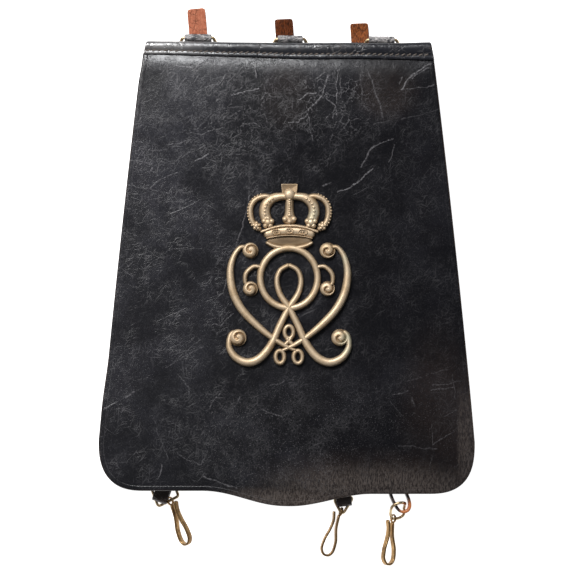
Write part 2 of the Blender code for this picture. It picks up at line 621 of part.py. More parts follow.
def make_flat_ring(name, foot, height, heading, corners, slopes, look):
    """A wire ring of rounded corners lying in a plane that leans across and along the strap's heading."""
    heading = unit(np.array(heading, float))
    lateral = np.array([-heading[1], heading[0]])
    flat = rounded_loop(corners, HOOK_RING_CORNER, 4)
    away = flat - np.array(foot)
    z = height + slopes[0] * (away @ lateral) + slopes[1] * (away @ heading)
    return make_wire(name, np.column_stack([flat, z]), look)


def rod(name, ends, wide, radius, look):
    """A straight round rod between two points."""
    section = np.repeat(circle(radius, 16)[None], 2, axis=0)
    return store(name, sweep(ends, np.repeat(wide[None], 2, axis=0), section), tube_faces(2, 16, False), look)


def make_hook(name, eye, heading, pitch, tilt, side, look):
    """A spring hook: one strip bent round a wide bow, its end a round plate bored for the ring."""
    eye = np.array(eye)
    pitch, tilt = math.radians(pitch), math.radians(tilt)
    level = unit(np.array([heading[0], heading[1], 0.0]))
    lateral = np.array([-level[1], level[0], 0.0])
    along = math.cos(pitch) * level + math.sin(pitch) * UP
    across = math.cos(tilt) * lateral + math.sin(tilt) * np.cross(along, lateral)
    wide = np.cross(along, across)
    turns = np.radians(BOW_TURNS)
    bow_x = BOW_CENTRE[0] + BOW_LONG * np.sin(turns)
    bow_y = BOW_CENTRE[1] + BOW_WIDE * np.cos(turns)
    bow = np.stack([bow_x, bow_y], axis=1)
    line = np.vstack([spline(HOOK_SHANK, 9, 2), bow, spline(HOOK_TIP, 8, 2)])
    path = eye + line[:, :1] * along + side * line[:, 1:] * across
    strip = np.repeat(broken_edge(STRIP_WIDE, STRIP_THICK, STRIP_EDGE)[None], len(path), axis=0)
    points = sweep(path, np.repeat(wide[None], len(path), axis=0), strip)
    made = store(name, points, tube_faces(len(path), 8, False), look)
    pair = np.array([[-1.0], [1.0]])
    plate = rod(name + "_plate", eye + pair * (0.5 * STRIP_THICK - 0.005) * across, wide, EYE_RADIUS, look)
    hole = rod(name + "_hole", eye + pair * (STRIP_THICK + 1.0) * across, wide, EYE_BORE, look)
    cut(made, plate, "UNION")
    cut(made, hole, "DIFFERENCE")
    return made


def keep(piece):
    """Moves a piece of the badge into the collection that is joined into one casting."""
    bpy.context.scene.collection.objects.unlink(piece)
    pieces.objects.link(piece)
    piece.hide_render = True
    piece.display_type = "WIRE"


def stroke(rows, count, flip=1.0, centre=0.0, closed=False):
    """A half-round bar on the badge's back plane along a smooth line, its width and height from the rows."""
    line = spline(rows, count, 2)
    if closed:
        line = line[:-1]
    path = np.column_stack([BADGE_X + centre + flip * line[:, 0], line[:, 1], np.full(len(line), BADGE_Z)])
    along = tangents(path, closed)
    across = np.column_stack([along[:, 1], -along[:, 0], np.zeros(len(line))])
    shape = HALF_ROUND[None] * np.stack([line[:, 2:3], line[:, 3:4]], axis=2)
    # each piece goes a little deeper than the last, so that no two share a plane before the back is cut flat
    shape[:, [0, -1], 1] = -SUNK - SUNK_STEP * (len(pieces.objects) % 9)
    points = path[:, None] + shape[..., :1] * across[:, None] + shape[..., 1:] * UP
    made = store("stroke", points.reshape(-1, 3), tube_faces(len(path), len(HALF_ROUND), closed), BRASS)
    keep(made)
    return made


def dome(x, y, radius, height, sides=10):
    """A low round boss: a short upright side under a cap in two steps."""
    turn = np.arange(sides) * 2 * math.pi / sides
    steps = ((1.0, -SUNK / height),) + DOME_STEPS
    verts = []
    for share, level in steps:
        across = radius * share * np.cos(turn) + BADGE_X + x
        up_page = radius * share * np.sin(turn) + y
        verts.append(np.stack([across, up_page, np.full(sides, BADGE_Z + height * level)], axis=1))
    keep(store("boss", np.vstack(verts), tube_faces(len(steps), sides, False), BRASS))


def oval(x, y, across, down, width, height, count):
    turn = np.linspace(0.0, 2 * math.pi, count + 1)
    full = np.ones(count + 1)
    rows = [x + across * np.cos(turn), y + down * np.sin(turn), width * full, height * full]
    return stroke(np.stack(rows, axis=1), count + 1, closed=True)


def mirrored(rows):
    """A half row of stations and its mirror image, as one line from left to right."""
    return list(rows) + [(-x, y, width, height) for x, y, width, height in reversed(rows[:-1])]


for old in list(bpy.data.objects):
    bpy.data.objects.remove(old, do_unlink=True)

LEATHER = material("black_leather", (0.018, 0.018, 0.022), 0.0, 0.42)
STRAP = material("strap_leather", (0.03, 0.024, 0.022), 0.0, 0.5)
BRASS = material("brass", (0.58, 0.42, 0.22), 1.0, 0.38)

# Flap, back panel, pocket and top strip
plan = flap_plan(FLAP_COLUMNS)
sheet("flap", plan, flap_height(plan), FLAP_THICK, LEATHER)
plan = panel_plan(PANEL_COLUMNS)
sheet("back_panel", plan, panel_height(plan), PANEL_THICK, LEATHER)
make_pocket(LEATHER)
make_band(LEATHER)

# Rings and leather loops at the top edge
for side, centre_x, bar_y, half in TOP_SETS:
    make_top_ring("top_ring_" + side, centre_x, bar_y, half + RING_PLAY, BRASS)
    make_tab("ring_loop_" + side, centre_x, bar_y, half, LEATHER)

# Slings
make_folded_sling("sling_left", LEFT_RUN, LEFT_FOOT, LEFT_HEADING, LEFT_ROLL, STRAP)
make_folded_sling("sling_middle", MIDDLE_RUN, MIDDLE_FOOT, MIDDLE_HEADING, 0.0, STRAP)
make_eyed_sling("sling_right", RIGHT_RUN, RIGHT_EYE, STRAP)

# Rings and spring hooks at the lower ends
make_flat_ring("hook_ring_left", LEFT_FOOT, LEFT_RING_Z, LEFT_HEADING, LEFT_CORNERS, LEFT_RING_SLOPES, BRASS)
make_flat_ring("hook_ring_middle", MIDDLE_FOOT, MIDDLE_RING_Z, MIDDLE_HEADING, MIDDLE_CORNERS, (0.0, 0.0), BRASS)
bent = spline(RIGHT_RING + RIGHT_RING[:1], RIGHT_RING_STATIONS + 1, 3)[:-1]
make_wire("hook_ring_right", bent, BRASS)
for hook in HOOKS:
    make_hook(*hook, BRASS)

# Scrollwork of the badge
pieces = bpy.data.collections.new("badge_pieces")
bpy.context.scene.collection.children.link(pieces)
badge = oval(0.0, OVAL_Y, OVAL_ACROSS, OVAL_DOWN, OVAL_WIDTH, OVAL_RISE, 28)
for flip in (1.0, -1.0):
    stroke(OUTER_STROKE, 15, flip)
    stroke(LOWER_STROKE, 21, flip)
    stroke(TENDRIL, 6, flip)
    stroke(KNOT_CROSS, 3, flip)
    for x, y, radius, height in SCROLL_ENDS:
        dome(flip * x, y, radius, height)
for x, y, across, down in KNOT_LOOPS:
    oval(x, y, across, down, KNOT_WIDTH, KNOT_RISE, 10)

# Crown of the badge
for rows in (CROWN_HOLLOW, CROWN_BAND, CROWN_RIM, CROWN_FOOT):
    stroke(mirrored(rows), 9, 1.0, CROWN_X)
for flip in (1.0, -1.0):
    stroke(OUTER_ARCH, 8, flip, CROWN_X)
    stroke(INNER_ARCH, 9, flip, CROWN_X)
    for x, y, radius, height in SIDE_BUDS:
        dome(CROWN_X + flip * x, y, radius, height, 8)
stroke(CENTRE_ARCH, 5, 1.0, CROWN_X)
stroke(PLATE, 2, 1.0, CROWN_X)
dome(CROWN_X, *CENTRE_BUD[1:], sides=8)
dome(CROWN_X, *CROWN_BALL[1:])

# One casting: every piece joined to the oval, then its back cut flat
pieces.objects.unlink(badge)
bpy.context.scene.collection.objects.link(badge)
badge.name = "badge"
badge.hide_render = False
badge.display_type = "TEXTURED"
join = badge.modifiers.new("join", "BOOLEAN")
join.operation = "UNION"
join.solver = "EXACT"
join.operand_type = "COLLECTION"
join.collection = pieces
back = [(x, y, BADGE_Z + z) for z in (-6.0, 0.0) for x, y in ((-60, -70), (60, -70), (60, 90), (-60, 90))]
cut(badge, store("badge_back", back, tube_faces(2, 4, False), BRASS), "DIFFERENCE")
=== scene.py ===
"""The looks of the sabretache: worn black leather, a cast brass badge and brass fittings, seen from straight above.

Lengths in the tables are in millimetres unless they say otherwise; X is right, Y towards the top edge, Z up."""

import functools
import math

import bmesh
import bpy
import numpy as np
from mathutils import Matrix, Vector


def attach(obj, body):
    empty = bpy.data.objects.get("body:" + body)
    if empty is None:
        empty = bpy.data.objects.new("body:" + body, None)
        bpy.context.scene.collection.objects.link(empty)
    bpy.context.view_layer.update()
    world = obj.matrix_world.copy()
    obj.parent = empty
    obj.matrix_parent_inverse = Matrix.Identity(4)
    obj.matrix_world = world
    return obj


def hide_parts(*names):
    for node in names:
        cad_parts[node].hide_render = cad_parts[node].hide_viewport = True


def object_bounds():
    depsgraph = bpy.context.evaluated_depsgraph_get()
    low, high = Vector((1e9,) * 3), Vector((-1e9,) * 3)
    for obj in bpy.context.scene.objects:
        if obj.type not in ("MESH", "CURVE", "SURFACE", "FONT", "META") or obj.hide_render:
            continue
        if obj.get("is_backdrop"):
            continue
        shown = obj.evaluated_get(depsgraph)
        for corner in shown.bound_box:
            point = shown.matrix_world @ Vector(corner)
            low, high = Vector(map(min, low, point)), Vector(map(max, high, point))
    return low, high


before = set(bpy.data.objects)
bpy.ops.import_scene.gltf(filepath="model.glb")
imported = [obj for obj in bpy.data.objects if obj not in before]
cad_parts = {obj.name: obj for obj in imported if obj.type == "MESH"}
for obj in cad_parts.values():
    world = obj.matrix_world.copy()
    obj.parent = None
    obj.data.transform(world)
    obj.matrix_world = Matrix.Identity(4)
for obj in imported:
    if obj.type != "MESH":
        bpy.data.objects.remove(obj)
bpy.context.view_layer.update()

# Floor, light and camera
# A white surface seen from straight above with a long lens. Soft light comes from beyond the top edge and from
# the left, as in the photograph, with an even pale surrounding. What is placed here is in metres.
scene = bpy.context.scene
scene.view_settings.view_transform = "Standard"
world = bpy.data.worlds.new("studio")
world.use_nodes = True
world.node_tree.nodes["Background"].inputs["Color"].default_value = (0.93, 0.96, 1, 1)
world.node_tree.nodes["Background"].inputs["Strength"].default_value = 0.13
scene.world = world


def lamp(name, place, target, size, watts, colour):
    """A square area light turned to face its target."""
    data = bpy.data.lights.new(name, "AREA")
    data.size, data.energy, data.color = size, watts, colour
    made = bpy.data.objects.new(name, data)
    scene.collection.objects.link(made)
    away = np.array(place) - np.array(target)
    made.location = place
    made.rotation_mode = "QUATERNION"
    made.rotation_quaternion = Vector(away.tolist()).to_track_quat("Z", "Y")


lamp("key", (-0.85, 0.95, 1.4), (0, 0.03, 0), 0.5, 30, (1, 0.985, 0.96))
lamp("top", (-0.2, 1.15, 1.25), (0, 0.1, 0), 0.35, 18, (0.98, 0.985, 1))
lamp("fill", (0.7, -0.9, 1.5), (0, 0, 0), 1, 1.5, (0.95, 0.97, 1))

FLOOR_HALF, FLOOR_Z = 3, -0.0003
corners = [(x * FLOOR_HALF, y * FLOOR_HALF, FLOOR_Z) for x, y in ((-1, -1), (1, -1), (1, 1), (-1, 1))]
floor_mesh = bpy.data.meshes.new("floor")
floor_mesh.from_pydata(corners, [], [(0, 1, 2, 3)])
floor = bpy.data.objects.new("floor", floor_mesh)
scene.collection.objects.link(floor)
white = bpy.data.materials.new("floor_white")
white.use_nodes = True
shader = white.node_tree.nodes["Principled BSDF"]
shader.inputs["Base Color"].default_value = (0.93, 0.93, 0.93, 1)
shader.inputs["Roughness"].default_value = 0.9
shader.inputs["Emission Color"].default_value = (1, 1, 1, 1)
shader.inputs["Emission Strength"].default_value = 0.97
floor_mesh.materials.append(white)
floor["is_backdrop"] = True

MM_PER_PIXEL = 0.7328
AXIS_PX = (286.6, 286.5)
IMAGE_PX = 570
FLAP_FACE_Z = 0.0208
CAMERA_AWAY = 8
camera_data = bpy.data.cameras.new("camera")
camera_data.lens = camera_data.sensor_width * CAMERA_AWAY / (IMAGE_PX * MM_PER_PIXEL * 0.001)
camera_data.clip_end = 20
camera = bpy.data.objects.new("camera", camera_data)
camera.location = (
    (0.5 * IMAGE_PX - AXIS_PX[0]) * MM_PER_PIXEL * 0.001,
    (AXIS_PX[1] - 0.5 * IMAGE_PX) * MM_PER_PIXEL * 0.001,
    FLAP_FACE_Z + CAMERA_AWAY,
)
scene.collection.objects.link(camera)
scene.camera = camera

# Flap
# One piece of thick harness leather, flared towards round lower corners with a shallow tongue between them. It
# is blacked and polished, scratched and creased by use, and its cut edge is worn brown inside a tooled line.
TOP_Y, SIDE_TOP_Y, SIDE_TOP_HALF, SIDE_LENGTH, SIDE_SPREAD, SIDE_BOW = 172.6, 178.4, 105.2, 296.7, 36.5, 4.7
CORNER_Y, CORNER_ACROSS, CORNER_DOWN, CORNER_POWER = -113.2, 33.7, 36.7, 2.6
TONGUE_X, TONGUE_HALF, TONGUE_DROP = 0.8, 60, 11.3
FLAP_THICK = 2.6
FLAP_LOW_Z, FLAP_RISE, LOW_DROOP, TONGUE_DROOP, SIDE_DROOP = 14.35, 6.45, 2.2, 3.6, 1.7
GROOVE_IN, GROOVE_HALF = 3.7, 0.5
FLAP_ROWS, FLAP_COLUMNS = 230, 190


def smooth(t):
    """0 to 1 with level ends: 3t^2 - 2t^3."""
    t = np.clip(t, 0, 1)
    return t * t * (3 - 2 * t)


def eased(share, power):
    """0 to 1 with a steep start and a level end: 1 - (1 - share)^power."""
    return 1 - (1 - np.clip(share, 0, 1)) ** power


def unit(vectors):
    """Each vector over its length."""
    return vectors / np.maximum(np.linalg.norm(vectors, axis=-1, keepdims=True), 1e-12)


def side_half(y):
    """Half the flap's width at height y: a line plus a small square term."""
    t = (SIDE_TOP_Y - y) / SIDE_LENGTH
    return SIDE_TOP_HALF + SIDE_SPREAD * t - SIDE_BOW * t * t


def corner_arc(angle):
    """The lower right corner, a superellipse quarter from the side (0) to below (a right angle)."""
    x = side_half(CORNER_Y) - CORNER_ACROSS * (1 - np.cos(angle) ** (2 / CORNER_POWER))
    y = CORNER_Y - CORNER_DOWN * np.sin(angle) ** (2 / CORNER_POWER)
    return np.stack([x, y], axis=-1)


def lower_edge(x):
    """The bottom edge: level, with a cosine tongue in the middle."""
    wave = 0.5 + 0.5 * np.cos(np.pi * np.clip(np.abs(x - TONGUE_X) / TONGUE_HALF, 0, 1))
    return CORNER_Y - CORNER_DOWN - TONGUE_DROP * wave


def run_of(points):
    """The length along a polyline up to each of its points."""
    return np.concatenate([[0], np.cumsum(np.linalg.norm(np.diff(points, axis=0), axis=1))])


def along_run(points, shares):
    """The points at these shares of a polyline's length."""
    run = run_of(points)
    return np.stack([np.interp(shares * run[-1], run, column) for column in points.T], axis=1)


def directions(path, closed=False):
    """Unit directions along a polyline: from each point's neighbour before it to the one after it."""
    if closed:
        return unit(np.roll(path, -1, axis=0) - np.roll(path, 1, axis=0))
    return unit(np.gradient(path, axis=0))


def rightward(along):
    """Directions in the plane turned a quarter turn to the right."""
    return np.stack([along[:, 1], -along[:, 0]], axis=1)


def coons(top, right, low, left):
    """A grid filling four edges: the two ruled surfaces between opposite edges, less the corners' bilinear one."""
    u = np.linspace(0, 1, len(top))[None, :, None]
    v = np.linspace(0, 1, len(left))[:, None, None]
    across = left[:, None] * (1 - u) + right[:, None] * u
    down = top[None] * (1 - v) + low[None] * v
    corners = (top[:1] * (1 - u) + top[-1:] * u) * (1 - v) + (low[:1] * (1 - u) + low[-1:] * u) * v
    return across + down - corners


def stretched(plan):
    """The plan as use has left it: the right side and its corner drawn out and down, the left one a little out."""
    x, y = plan[..., 0], plan[..., 1]
    out = 1.5 * smooth(x / 90) * smooth((174 - y) / 8)
    out = out + 0.7 * smooth(-x / 90) * smooth((y - 148) / 16)
    out = out - 1.4 * smooth(-x / 90) * smooth((-50 - y) / 40)
    down = -2.3 * smooth((x + 5) / 60) * smooth((-80 - y) / 60)
    return np.dstack([x + out, y + down])


def flap_grid(rows, columns, inset):
    """The flap's plan as a grid filling its outline, moved in by the inset."""
    side_y = np.linspace(TOP_Y, CORNER_Y, 120)
    side = np.stack([side_half(side_y), side_y], axis=1)
    arc = corner_arc(np.linspace(0, 0.5 * math.pi, 121))
    flat_x = np.linspace(arc[-1, 0], 0, 200)[1:]
    half = np.vstack([side, arc, np.stack([flat_x, lower_edge(flat_x)], axis=1)])
    half = half + inset * rightward(directions(half))
    half[0, 1] = TOP_Y - inset
    cut = len(side) + len(arc) // 2
    right = along_run(half[:cut], np.linspace(0, 1, rows))
    mirror = np.array([-1, 1])
    bottom = np.vstack([half[cut - 1:], (half[cut - 1:] * mirror)[::-1][1:]])[::-1]
    low = along_run(bottom, np.linspace(0, 1, columns))
    left = right * mirror
    top = left[0] + (right[0] - left[0]) * np.linspace(0, 1, columns)[:, None]
    return stretched(coons(top, right, low, left))


def waves(x, y, seed, count, shortest, longest):
    """A smooth random height field: a sum of sines of random direction, length and phase, about -1 to 1."""
    draw = np.random.default_rng(seed)
    total = np.zeros(np.broadcast(x, y).shape)
    for length, angle, phase in zip(
        draw.uniform(shortest, longest, count), draw.uniform(0, math.pi, count), draw.uniform(0, 6.3, count)
    ):
        total += np.sin(2 * math.pi * (x * math.cos(angle) + y * math.sin(angle)) / length + phase)
    return total / math.sqrt(count)


def band_low_edge(x):
    """The height of the band's lower edge: a line falling to the right, less a bell curve in the middle."""
    return 168.4 - 0.0212 * x - 0.66 * np.exp(-(((x - 2) / 42) ** 2))


def flap_face(x, y):
    """The flap's upper face: steeply up from the band's lower edge, then slowly to level over the pocket, less
    powers of how near the foot, the tongue's tip and the sides are, where it droops."""
    foot = CORNER_Y - CORNER_DOWN
    below = band_low_edge(x) + 0.1 - y
    climb = 0.32 * eased(below / 14, 2) + 0.68 * eased(below / 52, 1.5)
    low = np.clip((-75 - y) / (-75 - foot), 0, 1.4)
    tongue = np.clip((foot + 12 - y) / (TONGUE_DROP + 12), 0, 1)
    side = np.clip(np.abs(x) / side_half(y), 0, 1) ** 7
    return FLAP_LOW_Z + FLAP_RISE * climb - LOW_DROOP * low**2 - TONGUE_DROOP * tongue**2 - SIDE_DROOP * side * climb


def grid_faces(rows, columns, wrap_rows=False, wrap_columns=False):
    """Quads between the neighbours of a grid of points stored row by row."""
    i = np.arange(rows if wrap_rows else rows - 1)[:, None]
    j = np.arange(columns if wrap_columns else columns - 1)[None, :]
    up, on = (i + 1) % rows, (j + 1) % columns
    quads = np.stack([i * columns + j, i * columns + on, up * columns + on, up * columns + j], axis=-1)
    return quads.reshape(-1, 4)


def leaf(grid, thick, steps=5):
    """A sheet of leather about a grid of points in space: two faces along its normals and a half-round edge."""
    rows, columns = grid.shape[:2]
    normal = unit(np.cross(np.gradient(grid, axis=1), -np.gradient(grid, axis=0)))
    upper = grid + 0.5 * thick * normal
    lower = grid - 0.5 * thick * normal
    index = np.arange(rows * columns).reshape(rows, columns)
    loop = np.concatenate([index[0, :-1], index[:-1, -1], index[-1, :0:-1], index[:0:-1, 0]])
    edge, up = grid.reshape(-1, 3)[loop], normal.reshape(-1, 3)[loop]
    out = unit(np.cross(up, directions(edge, closed=True)))
    turns = np.linspace(0, math.pi, steps + 2)[1:-1, None, None]
    rim = edge + 0.5 * thick * (np.cos(turns) * up + np.sin(turns) * out)
    # round the edge: the upper face's border, the rim's steps, the lower face's border
    size = rows * columns
    ladder = np.vstack([loop, 2 * size + np.arange(steps * len(loop)).reshape(steps, -1), size + loop])
    band = ladder.reshape(-1)[grid_faces(steps + 2, len(loop), wrap_columns=True)]
    quads = grid_faces(rows, columns)
    points = np.vstack([upper.reshape(-1, 3), lower.reshape(-1, 3), rim.reshape(-1, 3)])
    return points, np.vstack([quads, quads[:, ::-1] + size, band]).tolist()


def piece(name, shells, look, nodes=()):
    """One finished object made of closed shells, its faces turned outward, riding on the CAD body."""
    points, faces, start = [], [], 0
    for verts, quads in shells:
        points.append(verts)
        faces += [tuple(start + k for k in face) for face in quads]
        start += len(verts)
    mesh = bpy.data.meshes.new(name)
    mesh.from_pydata((np.vstack(points) * 0.001).tolist(), [], faces)
    shape = bmesh.new()
    shape.from_mesh(mesh)
    bmesh.ops.recalc_face_normals(shape, faces=shape.faces)
    shape.to_mesh(mesh)
    shape.free()
    mesh.polygons.foreach_set("use_smooth", np.ones(len(mesh.polygons), bool))
    mesh.materials.append(look)
    made = bpy.data.objects.new(name, mesh)
    scene.collection.objects.link(made)
    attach(made, "root")
    if nodes:
        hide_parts(*nodes)
    return made


class Tree:
    """Short names for the nodes of one material. Sockets may be given where a node takes a value."""

    def __init__(self, name):
        self.look = bpy.data.materials.new(name)
        self.look.use_nodes = True
        self.tree = self.look.node_tree
        self.shader = self.tree.nodes["Principled BSDF"]
        place = self.tree.nodes.new("ShaderNodeTexCoord").outputs["Object"]
        self.place = self.vector("MULTIPLY", place, (1000, 1000, 1000))

    @functools.cached_property
    def axes(self):
        return self.node("SeparateXYZ", {0: self.place}).outputs

    # the place's coordinates in millimetres
    x, y, z = (property(lambda self, axis=axis: self.axes[axis]) for axis in range(3))

    def node(self, kind, values, **settings):
        made = self.tree.nodes.new("ShaderNode" + kind)
        for key, value in settings.items():
            setattr(made, key, value)
        self.put(made, values)
        return made

    def put(self, node, values):
        """Links or sets each of these sockets of a node."""
        for key, value in values.items():
            if isinstance(value, bpy.types.NodeSocket):
                self.tree.links.new(value, node.inputs[key])
            else:
                node.inputs[key].default_value = value

    def math(self, how, a, b=0, c=0):
        return self.node("Math", {0: a, 1: b, 2: c}, operation=how).outputs[0]

    def vector(self, how, a, b=(0, 0, 0)):
        made = self.node("VectorMath", {0: a, 1: b}, operation=how)
        return made.outputs["Value" if how in ("DOT_PRODUCT", "LENGTH", "DISTANCE") else "Vector"]

    def span(self, value, low, high, to_low=0, to_high=1):
        """The value carried smoothly from one range to another and held at its ends."""
        values = {"Value": value, "From Min": low, "From Max": high, "To Min": to_low, "To Max": to_high}
        return self.node("MapRange", values, interpolation_type="SMOOTHSTEP").outputs["Result"]

    def noise(self, scale, detail=3, rough=0.55, seed=0, place=None, out="Fac"):
        """Soft random clouds, about this many in a millimetre."""
        values = {"Vector": place or self.place, "W": seed, "Scale": scale, "Detail": detail, "Roughness": rough}
        return self.node("TexNoise", values, noise_dimensions="4D").outputs[out]

    def warped(self, scale, reach, seed=0, place=None):
        """The place pushed sideways by up to the reach in millimetres."""
        push = self.vector("SUBTRACT", self.noise(scale, 2, 0.5, seed, place, "Color"), (0.5, 0.5, 0.5))
        return self.vector("ADD", place or self.place, self.vector("MULTIPLY", push, (2 * reach, 2 * reach, 0)))

    def cracks(self, place, cell, width, seed=0):
        """1 on the borders of irregular cells of this size in millimetres, falling to 0 within the width."""
        moved = self.vector("ADD", place, (seed, -0.7 * seed, 0))
        flat = self.vector("MULTIPLY", moved, (1, 1, 0.02))
        cells = self.node("TexVoronoi", {"Vector": flat, "Scale": 1 / cell}, feature="DISTANCE_TO_EDGE")
        return self.span(cells.outputs["Distance"], 0, width / cell, 1, 0)

    def streaks(self, place, angle, long, wide, low, seed):
        """1 on long narrow scratches that run at this angle in degrees."""
        turned = self.node("VectorRotate", {"Vector": place, "Angle": math.radians(-angle)}, rotation_type="Z_AXIS")
        drawn = self.vector("MULTIPLY", turned.outputs["Vector"], (1 / long, 1 / wide, 0))
        return self.span(self.noise(1, 2, 0.5, seed, drawn), low, low + 0.07)

    def segment(self, flat, a, b, half_width):
        """1 along the straight line from a to b, falling to 0 at the half width: the distance to a segment."""
        a, b = np.array([*a, 0]), np.array([*b, 0])
        line = b - a
        away = self.vector("SUBTRACT", flat, a.tolist())
        share = self.vector("DOT_PRODUCT", away, (line / (line @ line)).tolist())
        share = self.node("Clamp", {"Value": share}).outputs["Result"]
        foot = self.node("VectorMath", {0: line.tolist(), "Scale": share}, operation="SCALE").outputs["Vector"]
        return self.span(self.vector("DISTANCE", away, foot), 0, half_width, 1, 0)

    def blob(self, x, y, across, down, *strength):
        """1, or the strength, in the middle of a soft ellipse with these radii, and 0 outside it."""
        away = self.vector("SUBTRACT", self.place, (x, y, 0))
        away = self.vector("MULTIPLY", away, (1 / across, 1 / down, 0))
        return self.times(self.span(self.vector("LENGTH", away), 0.35, 1, 1, 0), *strength)

    def blobs(self, *rows):
        return self.most(*[self.blob(*row) for row in rows])

    def most(self, *values):
        return functools.reduce(lambda a, b: self.math("MAXIMUM", a, b), values)

    def mix(self, share, first, second):
        values = {"Factor": share, 6: first, 7: second}
        return self.node("Mix", values, data_type="RGBA").outputs[2]

    def times(self, *values):
        return functools.reduce(lambda a, b: self.math("MULTIPLY", a, b), values)

    def add(self, total, value, share):
        """The total with a share of the value added to it."""
        return self.math("MULTIPLY_ADD", value, share, total)

    def finish(self, colour, rough, height, depth_mm=1, metallic=0, specular=0.5):
        """Sets the shader: colour, roughness, and a bump whose height 1 stands the depth in millimetres."""
        bump = self.node("Bump", {"Height": height, "Strength": 1, "Distance": depth_mm * 0.001}).outputs["Normal"]
        values = {"Base Color": colour, "Roughness": rough, "Metallic": metallic, "Normal": bump}
        self.put(self.shader, {**values, "Specular IOR Level": specular})
        return self.look


BLACK = (0.0042, 0.0042, 0.0056, 1)
BROWN = (0.025, 0.0155, 0.0115, 1)
# the next grey is a painted sheen: the light's bluish-grey reflection on the flap's left
SHEEN_GREY = (0.040, 0.040, 0.050, 1)
# the next grey is wear on scratches and creases, and a painted highlight along the tooled line
WEAR_AND_HIGHLIGHT_GREY = (0.17, 0.165, 0.175, 1)
FADED = (0.114, 0.095, 0.085, 1)
EDGE_BROWN = (0.05, 0.026, 0.014, 1)


def pixel(x, y):
    """A place on the photograph as millimetres in the frame."""
    return ((x - AXIS_PX[0]) * MM_PER_PIXEL, (AXIS_PX[1] - y) * MM_PER_PIXEL)


